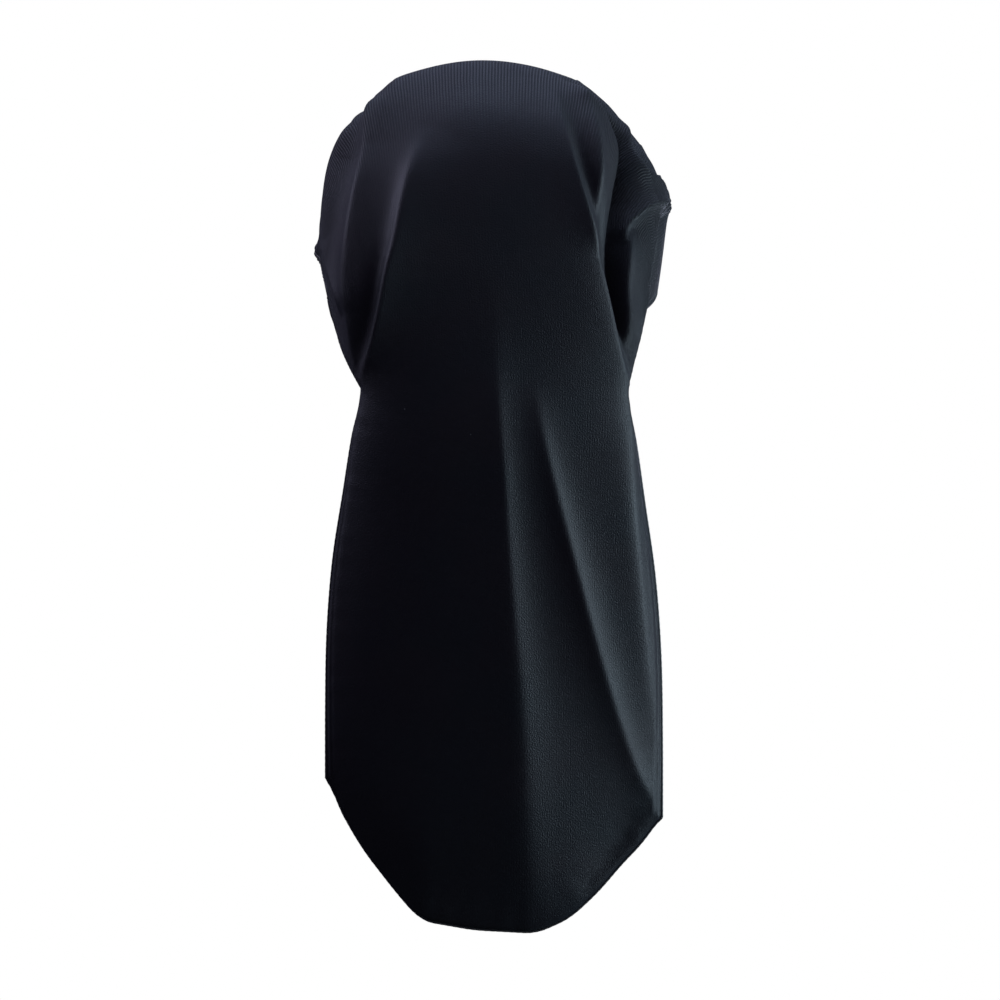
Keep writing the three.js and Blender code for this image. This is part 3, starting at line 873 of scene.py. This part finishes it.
def cloth_map(grid, along):
    width = arc_lengths(grid, 1)
    middle = grid.shape[1] // 2
    stretch = lerp(CROWN_STRETCH, 1, smoothstep(along, CROWN_TOP, NECK_ALONG))
    length = arc_lengths(grid, 0)[:, middle : middle + 1] + np.zeros_like(width)
    return np.stack([(width - width[:, middle : middle + 1]) / stretch, length], axis=-1)


def softened(grid, share):
    """Evens the rows out, so that the cloth doesn't show where the bag starts."""
    grid = grid.copy()
    for _ in range(EVENING):
        mean = (grid[:-2] + 2 * grid[1:-1] + grid[2:]) / 4
        grid[1:-1] = lerp(grid[1:-1], mean, share[1:-1, :, None])
    return grid


def sewn_cloth(smooth, across, along, folds, behind):
    """The cloth with its folds, eased beside its seams. behind: -1 for the outer panel, 1 for the inner."""
    grid = smooth(across, along)
    near, distance, run = nearest_seam(grid)
    at_neck = 1 - smoothstep(np.abs(along - NECK_ALONG), *NECK_EASE)
    grid = softened(grid, at_neck * smoothstep(distance, *EVEN_FREE))
    guide, out = Guide(grid), grid_normals(grid)
    shift = sum(fold_shift(fold, guide, grid, out) for fold in folds)
    shift = shift * smoothstep(distance, *FOLDS_FREE)[..., None]
    raised = puckers(distance, run) + turned_edge(distance)
    grid = tabbed(beside_seams(grid + shift + out * raised[..., None], near))
    free = smoothstep(distance, 0, PRESSED_REACH)
    grid[..., 1] += behind * lerp(EDGE_APART, WALLS_APART, free) / 2 * smoothstep(along, 0, NECK_ALONG)
    return grid, CLOTH * lerp(PRESSED, 1, free)


across, along = share_grid(np.interp(np.linspace(0, 1, OUTER_ROWS), ROW_SHARES, ROW_ALONGS), OUTER_COLUMNS)
grid, thickness = sewn_cloth(smooth_outer, across, along, CROWN_FOLDS + BAG_FOLDS, -1)
opened = lerp(1, LEAST_OPENED, smoothstep(along, *OPENED_ALONG))
outer_panel = cloth_wall("outer_cloth", grid, thickness, cloth_map(grid, along), opened)

# %% [markdown]
# ## The inner panel
#
# It closes the bag towards the wearer's back. The locks press it outwards, so it has only two soft folds.

# %% Make the inner panel
INNER_ROWS, INNER_COLUMNS = 163, 121
INNER_ALONGS = (0.0006, 0.9996)
INNER_OPENED = 0.12
INNER_FOLDS = folds_of("""
soft fold on the left, 7
-22 -150 0 14 20 5 0
-28 -185 2.2 14 20 4
-34 -230 3
-40 -290 3
-48 -340 2 12 18
-60 -380 0.8 10 14
-66 -392 0
soft fold on the right, 6
14 -160 0 16 12 5 0
20 -200 2 16 12 4
26 -260 2.6
30 -320 2.2
36 -380 1 14 10
40 -415 0
""")

across, along = share_grid(np.linspace(*INNER_ALONGS, INNER_ROWS), INNER_COLUMNS)
across = across[:, ::-1]  # so that its outside faces the wearer's back
grid, thickness = sewn_cloth(smooth_inner, across, along, INNER_FOLDS, 1)
opened = np.full(along.shape, INNER_OPENED)
inner_panel = cloth_wall("inner_cloth", grid, thickness, cloth_map(grid, along), opened)

# %% [markdown]
# ## The head band
#
# The band is one strip of knit folded double, with the fold as its hem. So its section is a long flat loop:
# round at the hem, drawn in at a row of stitches, plump in the middle, raised in a low edge below the seam
# and thin at it. It also has a hollow where the right seam pulls it in, and a crease on the left.

# %% The band's section and its folds
BAND_STATIONS = 460
BAND_THICK = 2.4
BAND_OPENED = 0.7
GUIDE_ROWS = 40

# from hem: millimetres; width: share of the band's width, added to it; out: share of half the thickness.
SECTION = table("""
from_hem width out
0 0 0
0.15 0 0.45
0.6 0 0.85
1.4 0 1
2.2 0 0.98
2.7 0 0.78
3 0 0.6
3.3 0 0.78
3.8 0 0.98
4.6 0 1.02
0 0.25 1.1
0 0.33 1.12
0 0.41 1.14
0 0.49 1.15
0 0.57 1.15
0 0.65 1.12
0 0.73 1.08
0 0.8 1.02
0 0.86 0.94
0 0.91 0.8
0 0.935 0.8
0 0.955 1.05
0 0.975 1
0 1 0.45
""")

BAND_FOLDS = folds_of("""
hollow at the right seam, 0
87 -75 0 6 5 2.5 0
83 -82 -7
80 -92 -6.5
78.5 -104 -3 5
77 -116 0
crease on the left, 0
-85.5 -105 0 1.5 4 0.6 0
-84 -115 1.3 1.5 4 0.6 -0.6
-81 -128 1.5
-78 -135 1.2 1.5 4 0.6 -0.5
-71 -142.5 0 1.5 4 0.6 0
""")


# %% Make the head band
OUTSIDE_ROWS = len(SECTION["out"])
TOP_FREE, HEM_FREE = (0, 5), (0, 3)  # the folds fade out at both edges


def band_grid():
    turn = np.linspace(0, 2 * np.pi, BAND_STATIONS, endpoint=False)[None, :]
    guide = Guide(band_point(turn, np.linspace(1, 0, GUIDE_ROWS)[:, None]))
    height = lengths(band_point(turn, 1) - band_point(turn, 0))
    rows = np.arange(OUTSIDE_ROWS)
    once_round = np.concatenate([rows, rows[:0:-1]])
    side = np.where(np.arange(len(once_round)) < OUTSIDE_ROWS, 1, -1)[:, None]
    fixed, share, plump = (SECTION[column][once_round][:, None] for column in ("from_hem", "width", "out"))
    from_hem = fixed + share * (height - SEAM_CLEAR)
    middle = band_point(turn, from_hem / height)
    out = heading(turn) + np.zeros_like(middle)
    shift = sum(fold_shift(fold, guide, middle, out) for fold in BAND_FOLDS)
    shift *= (smoothstep(height - from_hem, *TOP_FREE) * smoothstep(from_hem, *HEM_FREE))[..., None]
    thick = side * plump * BAND_THICK / 2
    round_head = np.linspace(0, line_length(BAND_SEAM_LINE), BAND_STATIONS + 1)[:-1]
    cloth_uv = np.stack(np.broadcast_arrays(from_hem, round_head[None, :]), axis=-1)
    return tabbed(middle + shift + out * thick[..., None]), cloth_uv


def ring_faces(rings, around):
    index = np.arange(rings * around).reshape(rings, around)
    index = np.concatenate([index, index[:1]], axis=0)
    index = np.concatenate([index, index[:, :1]], axis=1)
    return grid_faces(index)[:, ::-1].tolist()


grid_on_band, uv_on_band = band_grid()
rings = grid_on_band.shape[:2]
opened = np.full(rings, BAND_OPENED)
head_band = new_mesh("band_cloth", grid_on_band, ring_faces(*rings), uv_on_band, opened)
print("head band:", 2 * len(head_band.data.polygons), "triangles")

# %% [markdown]
# ## Building node trees
#
# Geometry Nodes make the seams and the stitches, and shader nodes the finishes. Both kinds of tree are built
# here. `add` makes one node: its settings are keywords, and its inputs come in a dictionary, where a value is
# set on the socket and a socket is linked to it.


# %% Helpers for node trees
def fill(tree, node, inputs):
    for key, value in inputs.items():
        if isinstance(value, bpy.types.NodeSocket):
            tree.links.new(value, node.inputs[key])
        else:
            node.inputs[key].default_value = value
    return node


def add(tree, kind, inputs=None, **settings):
    node = tree.nodes.new(kind)
    for name, value in settings.items():
        setattr(node, name, value)
    return fill(tree, node, inputs or {})


def calc(tree, operation, *values):
    return add(tree, "ShaderNodeMath", dict(enumerate(values)), operation=operation).outputs[0]


def noise(tree, place, scale, detail):
    return add(tree, "ShaderNodeTexNoise", {"Vector": place, "Scale": scale, "Detail": detail}).outputs[0]


def mix_colours(tree, share, first, second):
    return add(tree, "ShaderNodeMix", {0: share, 6: first, 7: second}, data_type="RGBA").outputs[2]


def new_group(name, kind, inputs, outputs):
    """A tree with named inputs and outputs. What is given for an input is its value at first, or its kind."""
    tree = bpy.data.node_groups.new(name, kind)
    for label, given in inputs.items():
        socket = given if isinstance(given, str) else {float: "Float", int: "Int"}[type(given)]
        made = tree.interface.new_socket(label, in_out="INPUT", socket_type="NodeSocket" + socket)
        if socket != given:
            made.default_value = given
    for label, socket in outputs.items():
        tree.interface.new_socket(label, in_out="OUTPUT", socket_type="NodeSocket" + socket)
    return tree, tree.nodes.new("NodeGroupInput").outputs, tree.nodes.new("NodeGroupOutput")


def run_nodes(piece, tree, values):
    """Runs a Geometry Nodes tree on a piece, and keeps the result as its plain mesh."""
    modifier = piece.modifiers.new("nodes", "NODES")
    modifier.node_group = tree
    for item in tree.interface.items_tree:
        if item.in_out == "INPUT" and item.name in values:
            modifier[item.identifier] = values[item.name]
    evaluated = piece.evaluated_get(bpy.context.evaluated_depsgraph_get())
    mesh = bpy.data.meshes.new_from_object(evaluated)
    piece.modifiers.clear()
    piece.data = mesh
    mesh.name = piece.name
    print(f"{piece.name}: {sum(len(p.vertices) - 2 for p in mesh.polygons)} triangles")


def line_piece(name, line, out, closed):
    """A piece that is only a line of edges, with the way out of the cloth kept at each point."""
    last = len(line) - 1
    edges = [(i, i + 1) for i in range(last)] + ([(last, 0)] if closed else [])
    mesh = bpy.data.meshes.new(name)
    mesh.from_pydata((line * MM).tolist(), edges, [])
    mesh.attributes.new("out", "FLOAT_VECTOR", "POINT").data.foreach_set("vector", out.ravel())
    return new_object(name, mesh)


# %% [markdown]
# ## The finishes
#
# The knit is black, so its form shows mostly in how it shines. Fine ribs run along the panels and across the
# band, each a row of tiny loops. One shader group makes that relief from the cloth map, and another the dye,
# which is a little uneven, with a few specks of lint, and darkens the colour between the ribs as painted
# shade.
# Image textures would repeat and blur. These groups stay sharp at any size.


# %% The ribs of the knit
RIB_ROUNDNESS = 0.6
LOOP_DEPTH = 0.15
GRAIN = 1.1  # height of the knit's fine grain, as a share of the ribs'


def make_knit_group():
    inputs = {"Cloth": "Vector", "Opened": 1.0, "Rib pitch": 0.0013, "Loop pitch": 0.0009, "Wander": 0.0004}
    outputs = {"Height": "Float", "Groove": "Float"}
    tree, given, end = new_group("ribbed knit", "ShaderNodeTree", inputs, outputs)
    place = add(tree, "ShaderNodeSeparateXYZ", {0: given["Cloth"]}).outputs
    drift = calc(tree, "SUBTRACT", noise(tree, given["Cloth"], 60.0, 2.0), 0.5)
    off = calc(tree, "MULTIPLY", drift, given["Wander"])
    rib = calc(tree, "DIVIDE", calc(tree, "ADD", place[0], off), given["Rib pitch"])
    ribs = calc(tree, "COSINE", calc(tree, "MULTIPLY", rib, 2 * math.pi))
    crest = calc(tree, "POWER", calc(tree, "MULTIPLY_ADD", ribs, 0.5, 0.5), RIB_ROUNDNESS)
    leg = calc(tree, "PINGPONG", rib, 0.5)
    loop = calc(tree, "ADD", calc(tree, "DIVIDE", place[1], given["Loop pitch"]), leg)
    loops = calc(tree, "COSINE", calc(tree, "MULTIPLY", loop, 2 * math.pi))
    looped = calc(tree, "MULTIPLY", crest, calc(tree, "MULTIPLY_ADD", loops, LOOP_DEPTH, 1 - LOOP_DEPTH))
    grain = calc(tree, "MULTIPLY", noise(tree, given["Cloth"], 1300.0, 2.0), GRAIN)
    height = calc(tree, "MULTIPLY_ADD", looped, given["Opened"], grain)
    # Groove: the hollows between the ribs, more where they open. The dye group paints shade into them and
    # roughens them.
    groove = calc(tree, "MULTIPLY", calc(tree, "SUBTRACT", 1.0, crest), given["Opened"])
    fill(tree, end, {"Height": height, "Groove": groove})
    return tree


# %% The dye, the lint and the painted shade in the grooves
# Painted shade: how much darker the colour is made in the grooves between the ribs, where they open fully.
GROOVE_PAINTED_SHADE = 0.75
LINT = (0.2, 0.2, 0.21, 1)
LINT_SIZE = 0.03  # of a speck, in a pattern of cells
LINT_RARE = 0.95  # the share of cells without lint


def make_dye_and_shade_group():
    inputs = {"Groove": 0.0, "Cool": "Color", "Warm": "Color", "Smooth": 0.45}
    outputs = {"Colour": "Color", "Roughness": "Float"}
    tree, given, end = new_group("black dye", "ShaderNodeTree", inputs, outputs)
    place = add(tree, "ShaderNodeTexCoord").outputs["Object"]
    tone = add(tree, "ShaderNodeMapRange", {0: noise(tree, place, 28.0, 3.0), 1: 0.35, 2: 0.65}).outputs[0]
    dyed = mix_colours(tree, tone, given["Cool"], given["Warm"])
    # Painted shade: the dyed colour is darkened in the grooves, where the ribs would shade each other.
    light = calc(tree, "SUBTRACT", 1.0, calc(tree, "MULTIPLY", given["Groove"], GROOVE_PAINTED_SHADE))
    ribbed = add(tree, "ShaderNodeVectorMath", {0: dyed, 3: light}, operation="SCALE").outputs[0]
    cells = add(tree, "ShaderNodeTexVoronoi", {"Vector": place, "Scale": 90.0}).outputs
    speck = calc(tree, "LESS_THAN", cells["Distance"], LINT_SIZE)
    picked = add(tree, "ShaderNodeSeparateColor", {0: cells["Color"]}).outputs[0]
    lint = calc(tree, "MULTIPLY", speck, calc(tree, "GREATER_THAN", picked, LINT_RARE))
    uneven = calc(tree, "MULTIPLY_ADD", tone, 0.04, given["Smooth"])
    roughness = calc(tree, "MULTIPLY_ADD", given["Groove"], 0.35, uneven)
    fill(tree, end, {"Colour": mix_colours(tree, lint, ribbed, LINT), "Roughness": roughness})
    return tree


knit_group, dye_and_shade_group = make_knit_group(), make_dye_and_shade_group()

# %% The materials
COOL_BLACK = (0.006, 0.008, 0.012, 1)
WARM_BLACK = (0.009, 0.0075, 0.0115, 1)
KNIT_ROUGHNESS = 0.5
SHEEN = {"Sheen Weight": 0.04, "Sheen Roughness": 0.35, "Sheen Tint": (0.6, 0.68, 0.78, 1)}


def new_material(name):
    material = bpy.data.materials.new(name)
    material.use_nodes = True
    return material, material.node_tree


def knit_material(name, rib_pitch, relief):
    material, tree = new_material(name)
    cloth = add(tree, "ShaderNodeUVMap", uv_map="cloth").outputs[0]
    opened = add(tree, "ShaderNodeAttribute", attribute_name="opened").outputs["Fac"]
    inputs = {"Cloth": cloth, "Opened": opened, "Rib pitch": rib_pitch}
    knit = add(tree, "ShaderNodeGroup", inputs, node_tree=knit_group).outputs
    inputs = {"Groove": knit["Groove"], "Cool": COOL_BLACK, "Warm": WARM_BLACK, "Smooth": KNIT_ROUGHNESS}
    dye = add(tree, "ShaderNodeGroup", inputs, node_tree=dye_and_shade_group).outputs
    bump = add(tree, "ShaderNodeBump", {"Height": knit["Height"], "Distance": relief, "Strength": 1.0})
    # Base Color carries the dye, the lint and the painted shade in the grooves.
    inputs = {"Base Color": dye["Colour"], "Roughness": dye["Roughness"], "Normal": bump.outputs[0]}
    fill(tree, tree.nodes["Principled BSDF"], {**inputs, **SHEEN})
    return material


def highlighted_thread_material():
    material, tree = new_material("sewing thread")
    strands = noise(tree, add(tree, "ShaderNodeTexCoord").outputs["Object"], 3000.0, 1.0)
    # Painted highlight: the thread's black is lifted to between 0.03 and 0.06, so that the seam rolls and
    # stitches show as light lines. The strand noise that varies it is the thread's own texture.
    tint = add(tree, "ShaderNodeMapRange", {0: strands, 3: 0.03, 4: 0.06}).outputs[0]
    bump = add(tree, "ShaderNodeBump", {"Height": strands, "Distance": 0.0001}).outputs[0]
    fill(tree, tree.nodes["Principled BSDF"], {"Base Color": tint, "Normal": bump, "Roughness": 0.42})
    return material


panel_knit = knit_material("panel knit", 0.0013, 0.0003)
band_knit = knit_material("band knit", 0.0015, 0.0002)
thread = highlighted_thread_material()
for piece, material in ((outer_panel, panel_knit), (inner_panel, panel_knit), (head_band, band_knit)):
    piece.data.materials.append(material)

# %% [markdown]
# ## The rolled seams
#
# Where the pieces are sewn together their edges form a thin roll, wrapped by looping thread. The tree sweeps
# a round section along the seam's line and swells it a little at every stitch, so that the roll looks bound.
# A plain swept curve would look moulded.


# %% The tree that makes a rolled seam
def new_line_tree(name, step, inputs):
    """A tree that starts from a line of edges, with places along it as far apart as the input step says."""
    inputs = {"Geometry": "Geometry", **inputs, "Finish": "Material"}
    tree, given, end = new_group(name, "GeometryNodeTree", inputs, {"Geometry": "Geometry"})
    line = add(tree, "GeometryNodeMeshToCurve", {0: given["Geometry"]}).outputs[0]
    spaced = add(tree, "GeometryNodeResampleCurve", {"Curve": line, "Length": given[step]}, mode="LENGTH")
    return tree, given, end, spaced.outputs[0]


def end_tree(tree, given, end, shape):
    real = add(tree, "GeometryNodeRealizeInstances", {0: shape}).outputs[0]
    finish = add(tree, "GeometryNodeSetMaterial", {"Geometry": real, "Material": given["Finish"]})
    fill(tree, end, {"Geometry": finish.outputs[0]})
    return tree


def make_roll_tree():
    inputs = {"Diameter": 0.002, "Step": 0.001, "Stitch pitch": 0.003, "Swell": 0.08}
    tree, given, end, line = new_line_tree("rolled seam", "Step", inputs)
    length = add(tree, "GeometryNodeSplineParameter").outputs["Length"]
    phase = calc(tree, "MULTIPLY", calc(tree, "DIVIDE", length, given["Stitch pitch"]), 2 * math.pi)
    swell = calc(tree, "MULTIPLY_ADD", calc(tree, "SINE", phase), given["Swell"], 1.0)
    bound = add(tree, "GeometryNodeSetCurveRadius", {"Curve": line, "Radius": swell}).outputs[0]
    radius = calc(tree, "DIVIDE", given["Diameter"], 2.0)
    section = add(tree, "GeometryNodeCurvePrimitiveCircle", {"Resolution": 10, "Radius": radius}).outputs[0]
    inputs = {"Curve": bound, "Profile Curve": section, "Scale": swell, "Fill Caps": True}
    roll = add(tree, "GeometryNodeCurveToMesh", inputs).outputs[0]
    return end_tree(tree, given, end, add(tree, "GeometryNodeSetShadeSmooth", {0: roll}).outputs[0])


# %% Make both rolled seams
side_clear = lengths(SIDE_SEAM_LINE - nearest_on(BAND_SEAM_LINE, SIDE_SEAM_LINE)[0])
side_line = SIDE_SEAM_LINE[side_clear > ROLL / 2]

roll_tree = make_roll_tree()
roll_sizes = {"Diameter": ROLL * MM, "Step": 0.001, "Stitch pitch": 0.0032, "Finish": thread}
band_seam = line_piece("band_seam_roll", tabbed(BAND_SEAM_LINE[:-1]), heading(band_turns)[:-1], True)
side_seam = line_piece("side_seam_roll", side_line, np.zeros_like(side_line), False)
for piece in (band_seam, side_seam):
    run_nodes(piece, roll_tree, roll_sizes)

# %% [markdown]
# ## The stitches
#
# One row of stitches holds the band's hem fold, and another the band's top edge. Each stitch is a short
# thread, bent at both ends where it dives into the knit. The tree sets a copy of it at every pitch along a
# line, with its back to the cloth.


# %% One stitch, and the tree that repeats it
STITCH = table("""
along lift radius
-1.15 -0.3 0.12
-0.9 0.05 0.2
0 0.12 0.22
0.9 0.05 0.2
1.15 -0.3 0.12
""")
STITCH_SIDES = 6


def make_stitch():
    """A low round bar whose ends bend down into the cloth."""
    turn = np.linspace(0, 2 * np.pi, STITCH_SIDES, endpoint=False)[None, :]
    along, lift, radius = (column[:, None] for column in STITCH.values())
    rings = points(along, radius * np.cos(turn), lift + radius * np.sin(turn))
    index = np.arange(rings[..., 0].size).reshape(rings.shape[:2])
    index = np.concatenate([index, index[:, :1]], axis=1)
    faces = grid_faces(index)[:, ::-1].tolist() + [index[0, :-1].tolist(), index[-1, -2::-1].tolist()]
    return new_mesh("stitch", rings, faces)


def make_stitch_tree():
    inputs = {"Stitch": "Object", "Pitch": 0.003, "Uneven": 0.05, "Seed": 7}
    tree, given, end, line = new_line_tree("row of stitches", "Pitch", inputs)
    tangent = add(tree, "GeometryNodeInputTangent").outputs[0]
    out = add(tree, "GeometryNodeInputNamedAttribute", {"Name": "out"}, data_type="FLOAT_VECTOR").outputs[0]
    align = "FunctionNodeAlignRotationToVector"
    lying = add(tree, align, {"Vector": tangent}, axis="X").outputs[0]
    facing = add(tree, align, {"Rotation": lying, "Vector": out}, axis="Z", pivot_axis="X").outputs[0]
    inputs = {2: calc(tree, "SUBTRACT", 0.0, given["Uneven"]), 3: given["Uneven"], "Seed": given["Seed"]}
    wobble = add(tree, "FunctionNodeRandomValue", inputs).outputs[1]
    inputs = {0: facing, 1: add(tree, "ShaderNodeCombineXYZ", {2: wobble}).outputs[0]}
    rotation = add(tree, "FunctionNodeRotateRotation", inputs, rotation_space="LOCAL").outputs[0]
    stitch = add(tree, "GeometryNodeObjectInfo", {"Object": given["Stitch"]}).outputs["Geometry"]
    inputs = {"Points": line, "Instance": stitch, "Rotation": rotation}
    return end_tree(tree, given, end, add(tree, "GeometryNodeInstanceOnPoints", inputs).outputs[0])


# %% Sew the two rows
STITCH_PITCH = 3.0
STITCH_LIFT = 0.05
HEM_STITCHES = 3.0  # above the hem
TOP_STITCHES = 3.2  # below the seam's clear edge


def row_on_band(name, from_hem, seed):
    """A row of stitches on the band's outside. from_hem: how far above the hem, at each place round it."""
    heights, outside = uv_on_band[:OUTSIDE_ROWS, :, 0], grid_on_band[:OUTSIDE_ROWS]
    line = np.array([
        [np.interp(from_hem[i], heights[:, i], outside[:, i, k]) for k in range(3)]
        for i in range(BAND_STATIONS)
    ])
    out = unit(points(line[:, 0] / SEAM_HALF_WIDTH**2, line[:, 1] / SEAM_REACH**2, 0))
    piece = line_piece(name, line + out * STITCH_LIFT, out, True)
    sizes = {"Stitch": stitch, "Pitch": STITCH_PITCH * MM, "Seed": seed, "Finish": thread}
    run_nodes(piece, stitch_tree, sizes)
    return piece


stitch, stitch_tree = make_stitch(), make_stitch_tree()
hem_stitches = row_on_band("hem_stitches", np.full(BAND_STATIONS, HEM_STITCHES), 7)
top_stitches = row_on_band("top_stitches", uv_on_band[OUTSIDE_ROWS - 1, :, 0] - TOP_STITCHES, 8)
bpy.data.objects.remove(stitch)

# %% [markdown]
# ## The stage
#
# The cap was photographed as worn, in front of white, with most of the light from the right. Here it hangs in
# the air, as if a head held it, over a pale floor that runs into white. Besides the key light, three weaker
# ones at the top left, above and low in front of the wearer draw the other edges. The world looks white to
# the camera but gives the cloth little light, so that black stays black.

# %% The floor and the world
FLOOR_DROP = 0.78
FLOOR_SIZE = 12
FLOOR_FADE = (0.5, 1.3)  # how far out the floor starts to turn white, and where it is white
FLOOR_SHADE, FLOOR_SEEN = (0.1, 0.1, 0.1, 1), (0.8, 0.8, 0.8, 1)
WHITE = (1, 1, 1, 1)
WORLD_LIGHT = (0.065, 0.06, 0.1, 1)


def floor_material():
    material, tree = new_material("pale floor")
    tree.nodes.clear()
    place = add(tree, "ShaderNodeTexCoord").outputs["Object"]
    far = add(tree, "ShaderNodeVectorMath", {0: place}, operation="LENGTH").outputs["Value"]
    inputs = {0: far, 1: FLOOR_FADE[0], 2: FLOOR_FADE[1]}
    spread = add(tree, "ShaderNodeMapRange", inputs, interpolation_type="SMOOTHSTEP").outputs[0]
    seen = add(tree, "ShaderNodeLightPath").outputs["Is Camera Ray"]
    tint = mix_colours(tree, seen, FLOOR_SHADE, FLOOR_SEEN)
    matt = add(tree, "ShaderNodeBsdfDiffuse", {"Color": tint}).outputs[0]
    white = add(tree, "ShaderNodeEmission", {"Color": WHITE, "Strength": 1.0}).outputs[0]
    inputs = {0: calc(tree, "MULTIPLY", spread, seen), 1: matt, 2: white}
    mixed = add(tree, "ShaderNodeMixShader", inputs).outputs[0]
    add(tree, "ShaderNodeOutputMaterial", {"Surface": mixed})
    return material


def make_floor():
    corners = np.array([(-1, -1, 0), (1, -1, 0), (1, 1, 0), (-1, 1, 0)]) * FLOOR_SIZE / 2 / MM
    floor = new_mesh("floor", corners, [(0, 1, 2, 3)])
    floor.location.z = -FLOOR_DROP
    floor.data.materials.append(floor_material())


def make_world():
    world = bpy.data.worlds.new("white room")
    scene.world = world
    world.use_nodes = True
    tree = world.node_tree
    ray = add(tree, "ShaderNodeLightPath").outputs["Is Camera Ray"]
    fill(tree, tree.nodes["Background"], {"Color": mix_colours(tree, ray, WORLD_LIGHT, WHITE)})


make_floor()
make_world()

# %% The lights
# Each is a soft panel: where it stands, its width and height, its power and its tint.
Light = namedtuple("Light", "name place size power tint")
MIDDLE = (0.0, -0.09, -0.2)
LIGHTS = [
    Light("key from the right", (1.25, -0.28, -0.1), (0.7, 1.2), 15.5, (0.78, 1, 1.15)),
    Light("top left", (-0.95, 0.15, 0.6), (0.7, 0.6), 4, (1, 1, 1.4)),
    Light("top", (0.0, 0.75, 1.1), (1.0, 0.7), 4, (0.84, 1, 1.45)),
    Light("low front", (0.25, 1.5, -0.55), (1.0, 0.8), 6, (0.85, 0.95, 1.2)),
]


def aim(thing, place, target):
    thing.location = place
    direction = Vector(target) - Vector(place)
    thing.rotation_euler = direction.to_track_quat("-Z", "Y").to_euler()


for light in LIGHTS:
    data = bpy.data.lights.new(light.name, "AREA")
    data.shape = "RECTANGLE"
    data.size, data.size_y = light.size
    data.energy = light.power
    data.color = light.tint
    aim(new_object(light.name, data), light.place, MIDDLE)

# %% The camera
# It stands behind the wearer at the middle of the cap's height and looks level. The picture is half a metre
# wide at the bag.
CAMERA_AWAY = 15.0
FRAME_WIDTH = 0.5
FRAME_X, FRAME_Z = 0.003, -0.2205
SENSOR = 36

camera_data = bpy.data.cameras.new("camera")
camera_data.sensor_width = SENSOR
camera_data.lens = SENSOR * CAMERA_AWAY / FRAME_WIDTH
camera = new_object("camera", camera_data)
hang_y = float(-HANG_REACH * MM)
aim(camera, (FRAME_X, hang_y - CAMERA_AWAY, FRAME_Z), (FRAME_X, hang_y, FRAME_Z))
scene.camera = camera
scene.view_settings.view_transform = "Standard"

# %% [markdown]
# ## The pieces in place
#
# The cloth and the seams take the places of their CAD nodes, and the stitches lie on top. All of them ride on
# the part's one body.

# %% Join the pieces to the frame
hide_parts("outer_panel")
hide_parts("inner_panel")
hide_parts("head_band")
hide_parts("band_seam")
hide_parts("side_seam")
SLOTS = {
    "panel_knit": (outer_panel, inner_panel),
    "band_knit": (head_band,),
    "seam_knit": (band_seam, side_seam, hem_stitches, top_stitches),
}
for slot, members in SLOTS.items():
    for piece in members:
        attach(piece, "root")
